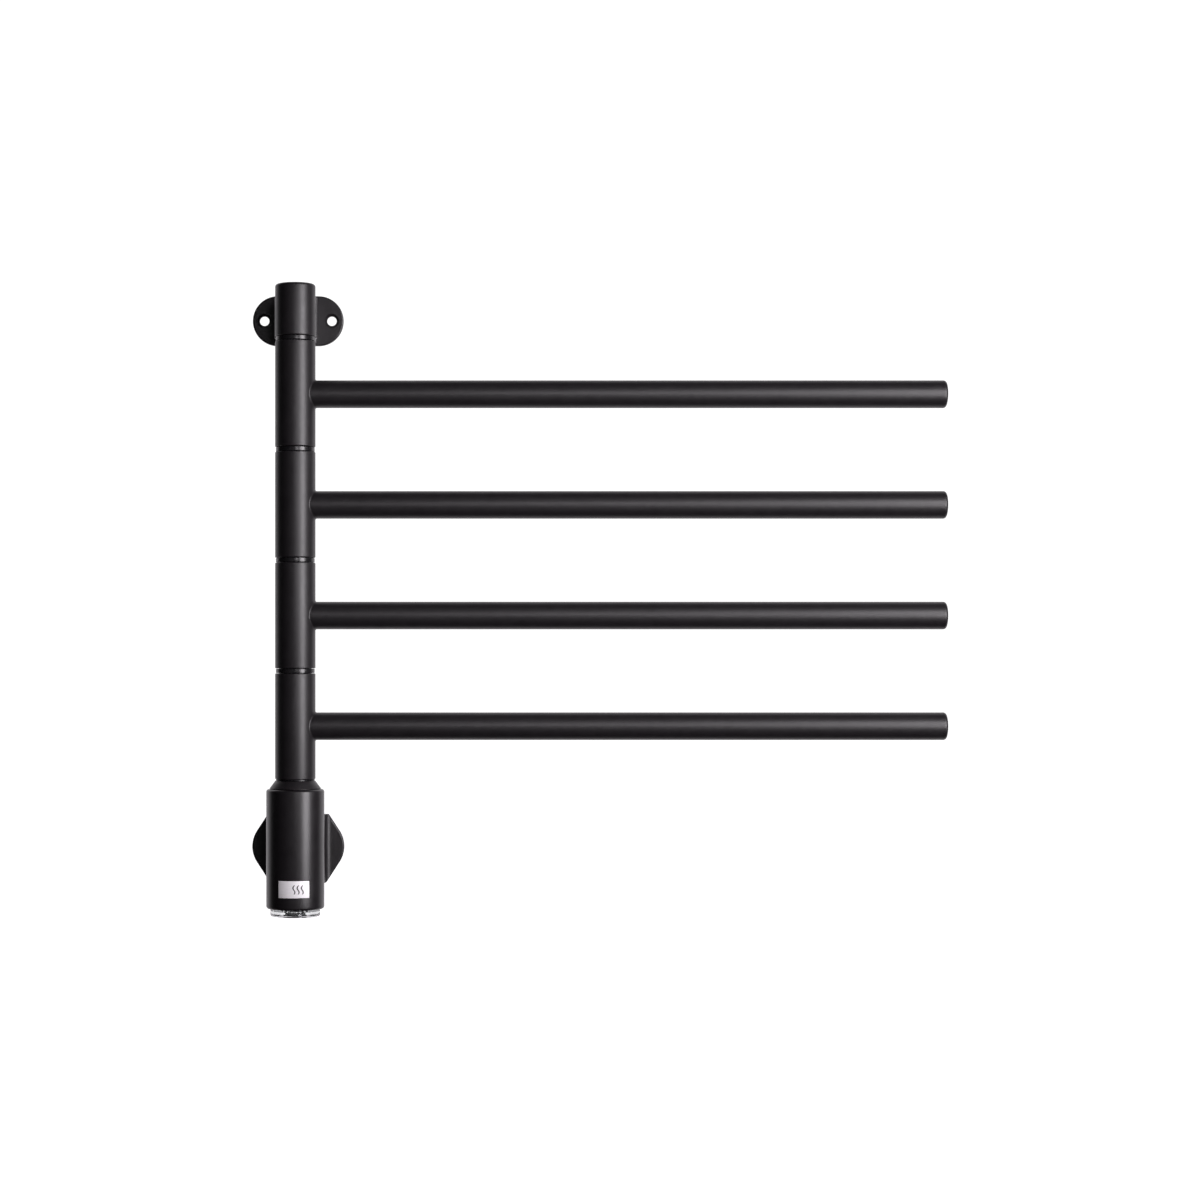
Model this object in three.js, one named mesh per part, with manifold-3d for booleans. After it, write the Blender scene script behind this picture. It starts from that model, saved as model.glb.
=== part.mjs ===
// Electric towel warmer with four arms that swivel on a vertical post.
// Millimetres, +Z up. The wall is the plane y = 0, the front faces -Y, and at rest the arms point to +X.
// The origin is the centre of the upper bracket's back face.
import * as THREE from "three";
import { mergeVertices } from "three/addons/utils/BufferGeometryUtils.js";
import Module from "manifold-3d";

const wasm = await Module();
wasm.setup();

// Driving dimensions
const AXIS_TO_WALL = 45;
const ARM_COUNT = 4;
const ARM_PITCH = 85;
const ARM_REACH = 500;
const ARM_RADIUS = 10.6;
const POST_RADIUS = 15.5;
const HOUSING_RADIUS = 22.3;
const BUTTON_RADIUS = 19.15;
const SLEEVE_TOP_Z = 23;
const FIRST_GROOVE_Z = -19;
const HOUSING_TOP_Z = -364.8;
const HOUSING_BOTTOM_Z = -456.5;
const BUTTON_BOTTOM_Z = -462.2;
const LOWER_Z = -412;

// Clearances
const GAP = 0.3;
const RUNNING_GAP = 0.2;
const BEYOND = 1;

// Facets round a full circle
const ROUND = 32;
const MEDIUM_ROUND = 24;
const HOLE_ROUND = 16;
const SMALL_ROUND = 12;
const TINY_ROUND = 8;
const HEXAGON = 6;
const DEGREES_PER_FACET = 15;

// Core tube: the fixed tube that the hubs turn about
const CORE_RADIUS = 9.5;
const CORE_BORE = 7.5;
const CORE_TOP_Z = 14;
const CORE_BOTTOM_Z = -376;
const CORE_WINDOW_HALF_HEIGHT = 4.5;
const CORE_WINDOW_ANGLES = [-194, 14];

// Hubs, and the flanged rings in the grooves between them
const POST_BORE = 12.8;
const HUB_EDGE = 0.8;
const GROOVE_HEIGHT = 3.8;
const RING_HEIGHT = GROOVE_HEIGHT - 2 * GAP;
const WASHER_HEIGHT = 0.6;
const FLANGE_RECESS = 0.55;
const SPIGOT_RADIUS = POST_BORE - RUNNING_GAP;
const SPIGOT_SHORT = 5.5;
const SPIGOT_LONG = 8;
const SPIGOT_LOWEST = 5;
const NOTCH_ANGLES = [-100, 100];
const NOTCH_LIP = 2.4;
const STOP_PIN_RADIUS = 1.5;
const STOP_PIN_RISE = 36;

// Arms
const ARM_BORE = 9.4;
const ARM_END_CHAMFER = 1.2;
const CAP_THICKNESS = 2.2;
const CAP_PLUG = 10;
const HUB_LEAD_HOLE = 7;
const HEATER_RADIUS = 5;
const HEATER_START = 24;
const HEATER_END = 470;
const LEAD_RADIUS = 1.2;

// Top sleeve
const SLEEVE_EDGE = 2.3;
const SLEEVE_CHAMFER = 0.7;
const SLEEVE_BOLT_HEIGHTS = [9, -6.6];
const SLEEVE_BOLT_HEAD_Y = -20;
const SLEEVE_BOLT_CORE_GAP = 0.7;

// Collar and nut under the last hub
const LAST_HUB_BOTTOM_Z = FIRST_GROOVE_Z - ARM_COUNT * ARM_PITCH + GROOVE_HEIGHT / 2;
const WASHER_Z = LAST_HUB_BOTTOM_Z - GAP - WASHER_HEIGHT / 2;
const COLLAR_TOP_Z = WASHER_Z - WASHER_HEIGHT / 2 - GAP;
const COLLAR_FOOT_Z = HOUSING_TOP_Z + 0.4;
const COLLAR_FOOT_INSET = 2.4;
const COLLAR_TOP_INSET = 0.2;
const NUT_RADIUS = 17.5;
const NUT_HEIGHT = 5;
const NUT_SLOT_WIDTH = 3;
const NUT_SLOT_DEPTH = 2;

// Control housing
const HOUSING_BORE = 19.6;
const LIP_THICKNESS = 2.7;
const LIP_BORE = 16.3;
const HOUSING_BOLT_SPACING = 24;
const BADGE_CENTRE_Z = -440.2;
const BADGE_HEIGHT = 13;
const BADGE_HALF_ANGLE = 31.7;
const BADGE_FLOOR = HOUSING_RADIUS - 0.6;

// Inside the control housing
const BLOCK_FRONT = 10.5;
const BLOCK_HALF_WIDTH = 9;
const BLOCK_RISE = 16;
const BLOCK_DROP = 18;
const BLOCK_WALL_GAP = 0.4;
const CARRIER_TOP_Z = -438;
const CARRIER_THICKNESS = 2.5;
const CARRIER_BOTTOM_Z = CARRIER_TOP_Z - CARRIER_THICKNESS;
const CARRIER_RADIUS = 18.9;
const RAIL_TOP_Z = -384;
const RAIL_SPAN = [14.8, 17.2];
const RAIL_DEPTH = [-4.5, 0.5];
const BOARD_FRONT = -2.6;
const BOARD_BACK = -1;
const BOARD_HALF_WIDTH = 14.5;
const BOARD_TOP_Z = -381;
const RELAY = { x: [-11, -1], depth: 8, z: [-405, -387] };
const CAPACITOR = { x: 6, y: 4.6, radius: 4.8, z: [-404, -388] };
const HARNESS_RADIUS = 2.2;
const HARNESS_BOTTOM_Z = BOARD_TOP_Z + 0.4;
const HARNESS_OVERSHOOT = 5;
const SUPPLY_X = 12.9;
const SUPPLY_RADIUS = 1.6;
const SUPPLY_HOLE = 2.6;
const STATUS_LIGHT_X = 10;

// Switch and push button
const SWITCH_HALF_WIDTH = 3;
const SWITCH_HEIGHT = 4;
const SWITCH_TIP_RADIUS = 1.5;
const SWITCH_TIP_REACH = 6.1;
const GUIDE_BOTTOM_Z = -451.5;
const GUIDE_TOP_Z = -447.5;
const BUTTON_NECK = 17;
const BUTTON_FLOOR_Z = -458.5;
const BUTTON_CAVITY = 14.5;
const BUTTON_TRAVEL = 1.5;
const BUTTON_CHAMFER = 1.2;
const BUTTON_HEAD_GAP = 0.5;
const PLUNGER_RADIUS = 2.5;
const GROOVE_RADIUS = 15.6;
const GROOVE_WIDTH = 1.6;
const GROOVE_WALL = 1;
const CLIP_RADIUS = 18.4;
const CLIP_THICKNESS = 1;
const CLIP_ANGLES = [-70, 250];
const SPRING_RADIUS = 5.6;
const SPRING_WIRE = 0.5;
const SPRING_TURNS = 5;
const SPRING_STEPS_PER_TURN = 10;

// Bolts
const BOLT_RADIUS = 2;
const BOLT_HOLE = BOLT_RADIUS + GAP;
const BOLT_HEAD_RADIUS = 3.5;
const BOLT_HEAD_HEIGHT = 3.5;
const BOLT_HEAD_HOLE = BOLT_HEAD_RADIUS + 0.4;
const BOLT_SOCKET_RADIUS = 1.6;
const BOLT_SOCKET_FLOOR = 1.8;

// Upper bracket: an obround wall plate with a stem that cradles the top sleeve
const UPPER_HALF_WIDTH = 35.6;
const UPPER_HALF_HEIGHT = 19.5;
const UPPER_THICKNESS = 4.2;
const UPPER_CHAMFER = 1.2;
const UPPER_HOLE_X = 26.4;
const UPPER_HOLE_RADIUS = 3.75;
const UPPER_COUNTERSINK = 5.6;
const STEM_HALF_WIDTH = 16.5;
const STEM_FOOT_HALF_WIDTH = 12;
const STEM_DEPTH = 38;
const STEM_SPAN = [-17.4, 14];
const STEM_FILLET = 2.5;
const STEM_CORNER = 1.5;

// Lower bracket: a hollow block with a wing at each side, which cradles the control housing
const WING_HALF_WIDTH = 36.1;
const WING_TIP_RADIUS = 22.5;
const WING_SLOPE = 57;
const WING_THICKNESS = 4;
const WING_CHAMFER = 1.4;
const CRADLE_HALF_WIDTH = 21;
const CRADLE_TOP = 25.4;
const CRADLE_BOTTOM = -28.2;
const CRADLE_DEPTH = 30;
const CRADLE_FILLET = 5;
const CRADLE_CORNER = 2;
const CAVITY_HALF_WIDTH = 18.6;
const CAVITY_HALF_HEIGHT = 20.8;
const CAVITY_DEPTH = 19.6;
const HOUSING_BOLT_TIP_Y = -33.5;

// On the wall behind the lower bracket
const WALL_PLATE_HALF_WIDTH = 17.5;
const WALL_PLATE_HALF_HEIGHT = 19.5;
const WALL_PLATE_THICKNESS = 2;
const WALL_LIP_HALF_WIDTH = 10;
const WALL_LIP_DEPTH = 8;
const WALL_SCREW_HOLE = 2.6;
const WALL_SCREW_Z = 12.5;
const WINDOW = { x: -10, z: 2, radius: 5.5 };
const GROMMET = { bore: 3.8, flange: 7.4, back: 0.3, shoulder: 2.3, front: 4.3 };
const CLAMP = { x: [-16, -4], y: [-7, -2.3], z: [-13, -7.5], notch: 3 };
const TERMINAL = { x: [0.5, 15.5], front: 12, back: 2.4, halfHeight: 7 };
const TERMINAL_HOLE = { radius: 1.4, depth: 5, y: -7.2, spacing: 4.4 };
const LOCK_SCREW_Y = -5;
const LOCK_SOCKET_RADIUS = 1;
const LOCK_SOCKET_DEPTH = 2.5;

const degrees = THREE.MathUtils.degToRad;

// Turns a closed geometry into a solid that can be cut and joined.
function solidOf(geometry) {
  const bare = geometry.index ? geometry.toNonIndexed() : geometry.clone();
  bare.deleteAttribute("normal");
  bare.deleteAttribute("uv");
  const merged = mergeVertices(bare, 1e-4);
  const vertProperties = merged.attributes.position.array;
  const triVerts = new Uint32Array(merged.index.array);
  return new wasm.Manifold(new wasm.Mesh({ numProp: 3, vertProperties, triVerts }));
}

function geometryOf(solid) {
  const mesh = solid.getMesh();
  const geometry = new THREE.BufferGeometry();
  geometry.setAttribute("position", new THREE.BufferAttribute(new Float32Array(mesh.vertProperties), 3));
  geometry.setIndex(new THREE.BufferAttribute(new Uint32Array(mesh.triVerts), 1));
  geometry.computeVertexNormals();
  return geometry;
}

function cut(body, ...tools) {
  return geometryOf(tools.reduce((left, tool) => left.subtract(solidOf(tool)), solidOf(body)));
}

function join(body, ...others) {
  return geometryOf(others.reduce((whole, other) => whole.add(solidOf(other)), solidOf(body)));
}

function common(body, other) {
  return geometryOf(solidOf(body).intersect(solidOf(other)));
}

function box([x0, x1], [y0, y1], [z0, z1]) {
  const geometry = new THREE.BoxGeometry(x1 - x0, y1 - y0, z1 - z0);
  return geometry.translate((x0 + x1) / 2, (y0 + y1) / 2, (z0 + z1) / 2);
}

// A round bar between two points.
function rod(radius, start, end, segments = SMALL_ROUND) {
  const from = new THREE.Vector3(...start);
  const to = new THREE.Vector3(...end);
  const along = to.clone().sub(from);
  const geometry = new THREE.CylinderGeometry(radius, radius, along.length(), segments);
  const turn = new THREE.Quaternion().setFromUnitVectors(new THREE.Vector3(0, 1, 0), along.normalize());
  geometry.applyQuaternion(turn);
  const middle = from.add(to).multiplyScalar(0.5);
  return geometry.translate(middle.x, middle.y, middle.z);
}

// A body turned about the Z axis. The profile lists [radius, z] counter-clockwise.
function turned(profile, segments = ROUND) {
  const points = profile.map(([radius, z]) => new THREE.Vector2(radius, z));
  return new THREE.LatheGeometry(points, segments).rotateX(Math.PI / 2);
}

function closed(profile) {
  return [...profile, profile[0]];
}

function ring(bore, radius, bottom, top, segments = ROUND) {
  const profile = [[bore, bottom], [radius, bottom], [radius, top], [bore, top]];
  return turned(closed(profile), segments);
}

// A shape raised along Z. Each of its arcs gets twice curveSegments facets.
function extruded(shape, bottom, top, curveSegments = 6) {
  const settings = { depth: top - bottom, bevelEnabled: false, curveSegments };
  return new THREE.ExtrudeGeometry(shape, settings).translate(0, 0, bottom);
}

// A part of a ring between two angles, in degrees, about the Z axis.
function sector(bore, radius, start, end, bottom, top) {
  const shape = new THREE.Shape();
  shape.absarc(0, 0, radius, degrees(start), degrees(end), false);
  if (bore > 0) shape.absarc(0, 0, bore, degrees(end), degrees(start), true);
  else shape.lineTo(0, 0);
  shape.closePath();
  const curveSegments = Math.ceil((end - start) / DEGREES_PER_FACET / 2);
  return extruded(shape, bottom, top, curveSegments);
}

// A plate on the wall, its outline in XZ, with a chamfered front edge.
function wallPlate(outline, thickness, chamfer) {
  const edge = { bevelThickness: chamfer, bevelSize: chamfer, bevelOffset: -chamfer, bevelSegments: 1 };
  const raw = new THREE.ExtrudeGeometry(outline, { depth: thickness, curveSegments: 6, ...edge });
  raw.translate(0, 0, -chamfer);
  const behind = box([-ARM_REACH, ARM_REACH], [-ARM_REACH, ARM_REACH], [-thickness, 0]);
  return cut(raw, behind).rotateX(Math.PI / 2);
}

// A straight prism that stands out from the wall, its outline in XZ.
function wallPrism(outline, from, to) {
  return extruded(outline, from, to).rotateX(Math.PI / 2);
}

// Materials
function material(color, roughness, metalness, opacity = 1) {
  const transparent = opacity < 1;
  return new THREE.MeshStandardMaterial({ color, roughness, metalness, opacity, transparent });
}

const SATIN_BLACK = material(0x1c1b1d, 0.42, 0.1);
const BEARING_BLACK = material(0x18171a, 0.3, 0);
const BRUSHED_STEEL = material(0xc9cacc, 0.35, 1);
const DARK_STEEL = material(0x4a4b4e, 0.45, 0.9);
const CLEAR_PLASTIC = material(0xe6eaec, 0.08, 0, 0.35);
const BLACK_PLASTIC = material(0x151517, 0.55, 0);
const WHITE_PLASTIC = material(0xd9d9d4, 0.5, 0);
const BOARD_GREEN = material(0x1e5a38, 0.5, 0);
const RED_SHEATH = material(0x9c2a22, 0.55, 0);
const GREY_SHEATH = material(0x8a8b8d, 0.6, 0);
const HEATER_SILVER = material(0xa9a69d, 0.4, 0.8);
const LIGHT_RED = material(0xd84030, 0.2, 0, 0.6);

function part(name, geometry, look) {
  const mesh = new THREE.Mesh(geometry, look);
  mesh.name = name;
  return mesh;
}

// Post: the pieces about the post's axis, in a frame whose Z axis is that axis.

function armHeight(index) {
  return FIRST_GROOVE_Z - ARM_PITCH * (index + 0.5);
}

function coreTube() {
  const tube = ring(CORE_BORE, CORE_RADIUS, CORE_BOTTOM_Z, CORE_TOP_Z, MEDIUM_ROUND);
  const windows = [];
  for (let i = 0; i < ARM_COUNT; i++) {
    const bottom = armHeight(i) - CORE_WINDOW_HALF_HEIGHT;
    const top = armHeight(i) + CORE_WINDOW_HALF_HEIGHT;
    windows.push(sector(0, POST_BORE, ...CORE_WINDOW_ANGLES, bottom, top));
  }
  return cut(tube, ...windows);
}

function topSleeve() {
  const bottom = FIRST_GROOVE_Z + GROOVE_HEIGHT / 2;
  const bearingEnd = FIRST_GROOVE_Z + RING_HEIGHT / 2 + SPIGOT_SHORT + 2 * GAP;
  const body = turned([
    [0, CORE_TOP_Z + GAP],
    [CORE_RADIUS + GAP, CORE_TOP_Z + GAP],
    [CORE_RADIUS + GAP, bearingEnd],
    [POST_BORE, bearingEnd],
    [POST_BORE, bottom],
    [POST_RADIUS - HUB_EDGE, bottom],
    [POST_RADIUS, bottom + HUB_EDGE],
    [POST_RADIUS, SLEEVE_TOP_Z - SLEEVE_EDGE],
    [POST_RADIUS - SLEEVE_CHAMFER, SLEEVE_TOP_Z - SLEEVE_CHAMFER],
    [POST_RADIUS - SLEEVE_EDGE, SLEEVE_TOP_Z],
    [0, SLEEVE_TOP_Z],
  ]);
  const holes = SLEEVE_BOLT_HEIGHTS.map((z) => rod(BOLT_HOLE, [0, CORE_RADIUS, z], [0, AXIS_TO_WALL, z]));
  return cut(body, ...holes);
}

// A flanged bush: the flange shows between two segments of the post, and its spigots guide them.
function bearingRing(flangeHeight, lowerSpigot, notched) {
  const half = flangeHeight / 2;
  const flange = POST_RADIUS - FLANGE_RECESS;
  const body = turned(closed([
    [CORE_RADIUS + RUNNING_GAP, -half - lowerSpigot],
    [SPIGOT_RADIUS, -half - lowerSpigot],
    [SPIGOT_RADIUS, -half],
    [flange, -half],
    [flange, half],
    [SPIGOT_RADIUS, half],
    [SPIGOT_RADIUS, half + SPIGOT_SHORT],
    [CORE_RADIUS + RUNNING_GAP, half + SPIGOT_SHORT],
  ]), MEDIUM_ROUND);
  if (!notched) return body;
  const notch = sector(0, POST_RADIUS, ...NOTCH_ANGLES, -half - lowerSpigot - BEYOND, -half - NOTCH_LIP);
  return cut(body, notch);
}

function housingCollar() {
  const foot = HOUSING_TOP_Z - LIP_THICKNESS;
  const bearingEnd = WASHER_Z - WASHER_HEIGHT / 2 - SPIGOT_LOWEST - GAP;
  return turned(closed([
    [CORE_RADIUS + GAP, foot],
    [LIP_BORE - GAP, foot],
    [LIP_BORE - GAP, COLLAR_FOOT_Z],
    [HOUSING_RADIUS - COLLAR_FOOT_INSET, COLLAR_FOOT_Z],
    [POST_RADIUS - COLLAR_TOP_INSET, COLLAR_TOP_Z],
    [POST_BORE, COLLAR_TOP_Z],
    [POST_BORE, bearingEnd],
    [CORE_RADIUS + GAP, bearingEnd],
  ]));
}

function coreNut() {
  const top = HOUSING_TOP_Z - LIP_THICKNESS - GAP;
  const bottom = top - NUT_HEIGHT;
  const body = ring(CORE_RADIUS + GAP, NUT_RADIUS, bottom, top, MEDIUM_ROUND);
  const width = [-NUT_SLOT_WIDTH / 2, NUT_SLOT_WIDTH / 2];
  const blank = box([-HOUSING_RADIUS, HOUSING_RADIUS], width, [bottom - BEYOND, bottom + NUT_SLOT_DEPTH]);
  return cut(body, blank, blank.clone().rotateZ(Math.PI / 2));
}

// The control housing: a shell with a lip at the top, open below, with a pocket for the badge.
function controlHousing() {
  const body = turned(closed([
    [HOUSING_BORE, HOUSING_BOTTOM_Z],
    [HOUSING_RADIUS - 1.6, HOUSING_BOTTOM_Z],
    [HOUSING_RADIUS - 0.5, HOUSING_BOTTOM_Z + 0.8],
    [HOUSING_RADIUS, HOUSING_BOTTOM_Z + 2.2],
    [HOUSING_RADIUS, HOUSING_TOP_Z - 2.4],
    [HOUSING_RADIUS - 0.6, HOUSING_TOP_Z - 0.8],
    [HOUSING_RADIUS - 2.1, HOUSING_TOP_Z],
    [LIP_BORE, HOUSING_TOP_Z],
    [LIP_BORE, HOUSING_TOP_Z - LIP_THICKNESS],
    [HOUSING_BORE, HOUSING_TOP_Z - LIP_THICKNESS],
  ]));
  const pocket = badgeBlank(BADGE_FLOOR, HOUSING_RADIUS + BEYOND, GAP);
  const inside = LIP_BORE;
  const outside = AXIS_TO_WALL;
  const boltHoles = housingBoltHeights().map((z) => rod(BOLT_HOLE, [0, inside, z], [0, outside, z]));
  const leadHole = rod(SUPPLY_HOLE, [SUPPLY_X, BLOCK_FRONT, LOWER_Z], [SUPPLY_X, outside, LOWER_Z]);
  return cut(body, pocket, ...boltHoles, leadHole);
}

function badgeBlank(bore, radius, margin) {
  const spread = BADGE_HALF_ANGLE + THREE.MathUtils.radToDeg(margin / HOUSING_RADIUS);
  const half = BADGE_HEIGHT / 2 + margin;
  return sector(bore, radius, -90 - spread, -90 + spread, BADGE_CENTRE_Z - half, BADGE_CENTRE_Z + half);
}

function badge() {
  return badgeBlank(BADGE_FLOOR + GAP, HOUSING_RADIUS + GAP, 0);
}

// Inside the control housing

function housingBoltHeights() {
  return [LOWER_Z + HOUSING_BOLT_SPACING / 2, LOWER_Z - HOUSING_BOLT_SPACING / 2];
}

// The block that the two bracket bolts screw into, curved to the inside of the housing.
function mountingBlock() {
  const [bottom, top] = [LOWER_Z - BLOCK_DROP, LOWER_Z + BLOCK_RISE];
  const blank = box([-BLOCK_HALF_WIDTH, BLOCK_HALF_WIDTH], [BLOCK_FRONT, HOUSING_RADIUS], [bottom, top]);
  const round = rod(HOUSING_BORE - BLOCK_WALL_GAP, [0, 0, bottom - BEYOND], [0, 0, top + BEYOND], ROUND);
  const holes = housingBoltHeights().map((z) => rod(BOLT_HOLE, [0, 0, z], [0, HOUSING_RADIUS, z]));
  return cut(common(blank, round), ...holes);
}

function boardCarrier() {
  const profile = [[0, CARRIER_BOTTOM_Z], [CARRIER_RADIUS, CARRIER_BOTTOM_Z]];
  profile.push([CARRIER_RADIUS, CARRIER_TOP_Z], [0, CARRIER_TOP_Z]);
  const [inner, outer] = RAIL_SPAN;
  const height = [CARRIER_TOP_Z - BEYOND, RAIL_TOP_Z];
  const right = box([inner, outer], RAIL_DEPTH, height);
  const left = box([-outer, -inner], RAIL_DEPTH, height);
  return join(turned(profile, MEDIUM_ROUND), right, left);
}

function controlBoard() {
  const width = [-BOARD_HALF_WIDTH, BOARD_HALF_WIDTH];
  return box(width, [BOARD_FRONT, BOARD_BACK], [CARRIER_TOP_Z + GAP, BOARD_TOP_Z]);
}

function powerRelay() {
  const back = BOARD_BACK + GAP;
  return box(RELAY.x, [back, back + RELAY.depth], RELAY.z);
}

function boardCapacitor() {
  const { x, y, radius, z } = CAPACITOR;
  return rod(radius, [x, y, z[0]], [x, y, z[1]], HOLE_ROUND);
}

function pushSwitch() {
  const top = CARRIER_BOTTOM_Z - GAP;
  const width = [-SWITCH_HALF_WIDTH, SWITCH_HALF_WIDTH];
  const tip = rod(SWITCH_TIP_RADIUS, [0, 0, top - SWITCH_TIP_REACH], [0, 0, top - BEYOND]);
  return join(box(width, width, [top - SWITCH_HEIGHT, top]), tip);
}

function statusLight() {
  const top = CARRIER_BOTTOM_Z - GAP;
  return turned([
    [0, top - 5.7],
    [1.4, top - 5.3],
    [2.2, top - 4.4],
    [2.5, top - 3.2],
    [2.5, top],
    [0, top],
  ], HOLE_ROUND);
}

function buttonGuide() {
  return ring(BUTTON_NECK + GAP, HOUSING_BORE - GAP, GUIDE_BOTTOM_Z, GUIDE_TOP_Z, MEDIUM_ROUND);
}

// The clear push button: a cup with a neck, a groove for its retaining ring and a plunger in the middle.
function pushButton() {
  const switchTip = CARRIER_BOTTOM_Z - GAP - SWITCH_TIP_REACH;
  const plungerTop = switchTip - BUTTON_TRAVEL - GAP;
  const headTop = GUIDE_BOTTOM_Z - BUTTON_TRAVEL - BUTTON_HEAD_GAP;
  const grooveTop = GUIDE_TOP_Z + GROOVE_WIDTH;
  return turned([
    [0, BUTTON_BOTTOM_Z],
    [BUTTON_RADIUS - BUTTON_CHAMFER, BUTTON_BOTTOM_Z],
    [BUTTON_RADIUS, BUTTON_BOTTOM_Z + BUTTON_CHAMFER],
    [BUTTON_RADIUS, headTop],
    [BUTTON_NECK, headTop],
    [BUTTON_NECK, GUIDE_TOP_Z],
    [GROOVE_RADIUS, GUIDE_TOP_Z],
    [GROOVE_RADIUS, grooveTop],
    [BUTTON_NECK, grooveTop],
    [BUTTON_NECK, grooveTop + GROOVE_WALL],
    [BUTTON_CAVITY, grooveTop + GROOVE_WALL],
    [BUTTON_CAVITY, BUTTON_FLOOR_Z],
    [PLUNGER_RADIUS, BUTTON_FLOOR_Z],
    [PLUNGER_RADIUS, plungerTop],
    [0, plungerTop],
  ], MEDIUM_ROUND);
}

function retainingRing() {
  const bottom = GUIDE_TOP_Z + GAP;
  return sector(GROOVE_RADIUS + GAP, CLIP_RADIUS, ...CLIP_ANGLES, bottom, bottom + CLIP_THICKNESS);
}

function buttonSpring() {
  const bottom = BUTTON_FLOOR_Z + GAP + SPRING_WIRE;
  const top = CARRIER_BOTTOM_Z - GAP - SPRING_WIRE;
  const steps = SPRING_TURNS * SPRING_STEPS_PER_TURN;
  const points = [];
  for (let i = 0; i <= steps; i++) {
    const angle = (i / SPRING_STEPS_PER_TURN) * 2 * Math.PI;
    const z = bottom + ((top - bottom) * i) / steps;
    points.push(new THREE.Vector3(SPRING_RADIUS * Math.cos(angle), SPRING_RADIUS * Math.sin(angle), z));
  }
  const section = new THREE.Shape().absarc(0, 0, SPRING_WIRE, 0, 2 * Math.PI, false);
  const extrudePath = new THREE.CatmullRomCurve3(points);
  return new THREE.ExtrudeGeometry(section, { steps, extrudePath, bevelEnabled: false, curveSegments: 3 });
}

function wiringHarness() {
  return rod(HARNESS_RADIUS, [0, 0, HARNESS_BOTTOM_Z], [0, 0, armHeight(0) + HARNESS_OVERSHOOT]);
}

// From the terminal block's front face back to the board.
function supplyLead() {
  const start = AXIS_TO_WALL - TERMINAL.front - GAP;
  return rod(SUPPLY_RADIUS, [SUPPLY_X, start, LOWER_Z], [SUPPLY_X, BOARD_BACK + GAP, LOWER_Z]);
}

// Arms: each in a frame on the post's axis at the arm's height.

function hub() {
  const half = (ARM_PITCH - GROOVE_HEIGHT) / 2;
  const sleeve = turned(closed([
    [POST_BORE, -half],
    [POST_RADIUS - HUB_EDGE, -half],
    [POST_RADIUS, -half + HUB_EDGE],
    [POST_RADIUS, half - HUB_EDGE],
    [POST_RADIUS - HUB_EDGE, half],
    [POST_BORE, half],
  ]));
  const leadHole = rod(HUB_LEAD_HOLE, [CORE_RADIUS, 0, 0], [HEATER_START, 0, 0], MEDIUM_ROUND);
  const pinHoleRadius = STOP_PIN_RADIUS + GAP;
  const pinHole = rod(pinHoleRadius, [0, CORE_RADIUS, STOP_PIN_RISE], [0, HEATER_START, STOP_PIN_RISE]);
  return cut(sleeve, leadHole, pinHole);
}

function stopPin() {
  const inner = CORE_RADIUS + 2 * GAP + RUNNING_GAP;
  return rod(STOP_PIN_RADIUS, [0, inner, STOP_PIN_RISE], [0, POST_RADIUS - GAP, STOP_PIN_RISE]);
}

function armTube() {
  const end = ARM_REACH - CAP_THICKNESS - GAP;
  const half = (ARM_PITCH - GROOVE_HEIGHT) / 2;
  const outside = rod(ARM_RADIUS, [CORE_BORE, 0, 0], [end, 0, 0], MEDIUM_ROUND);
  const inside = rod(ARM_BORE, [0, 0, 0], [ARM_REACH, 0, 0], MEDIUM_ROUND);
  const post = rod(POST_RADIUS + GAP, [0, 0, -half], [0, 0, half], ROUND);
  return cut(outside, inside, post);
}

function armCap() {
  const shoulder = ARM_REACH - CAP_THICKNESS;
  const cap = turned([
    [0, shoulder - CAP_PLUG],
    [ARM_BORE - GAP, shoulder - CAP_PLUG],
    [ARM_BORE - GAP, shoulder],
    [ARM_RADIUS, shoulder],
    [ARM_RADIUS, ARM_REACH - ARM_END_CHAMFER],
    [ARM_RADIUS - ARM_END_CHAMFER, ARM_REACH],
    [0, ARM_REACH],
  ], MEDIUM_ROUND);
  return cap.rotateY(Math.PI / 2);
}

function heater() {
  return rod(HEATER_RADIUS, [HEATER_START, 0, 0], [HEATER_END, 0, 0], HOLE_ROUND);
}

function heaterLead() {
  const start = HARNESS_RADIUS + GAP;
  return rod(LEAD_RADIUS, [start, 0, 0], [HEATER_START - GAP, 0, 0], TINY_ROUND);
}

// Upper bracket

function obround(halfWidth, halfHeight) {
  const shape = new THREE.Shape();
  const centre = halfWidth - halfHeight;
  shape.absarc(centre, 0, halfHeight, degrees(-90), degrees(90), false);
  shape.absarc(-centre, 0, halfHeight, degrees(90), degrees(270), false);
  return shape.closePath();
}

// The section of a stem that stands on a wall plate, with a fillet at each side of its foot.
function stemSection([footHalfWidth, footY], [halfWidth, frontY], fillet, corner) {
  const shape = new THREE.Shape();
  const side = footHalfWidth + fillet;
  const sunk = footY + fillet / 2;
  shape.moveTo(-side, sunk);
  shape.lineTo(side, sunk);
  shape.absarc(side, footY - fillet, fillet, degrees(90), degrees(180), false);
  shape.absarc(halfWidth - corner, frontY + corner, corner, 0, degrees(-90), true);
  shape.absarc(-halfWidth + corner, frontY + corner, corner, degrees(-90), degrees(-180), true);
  shape.absarc(-side, footY - fillet, fillet, 0, degrees(90), false);
  return shape.closePath();
}

function postClearance(radius) {
  const half = ARM_PITCH / 2;
  return rod(radius, [0, -AXIS_TO_WALL, -half], [0, -AXIS_TO_WALL, half], ROUND);
}

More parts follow.
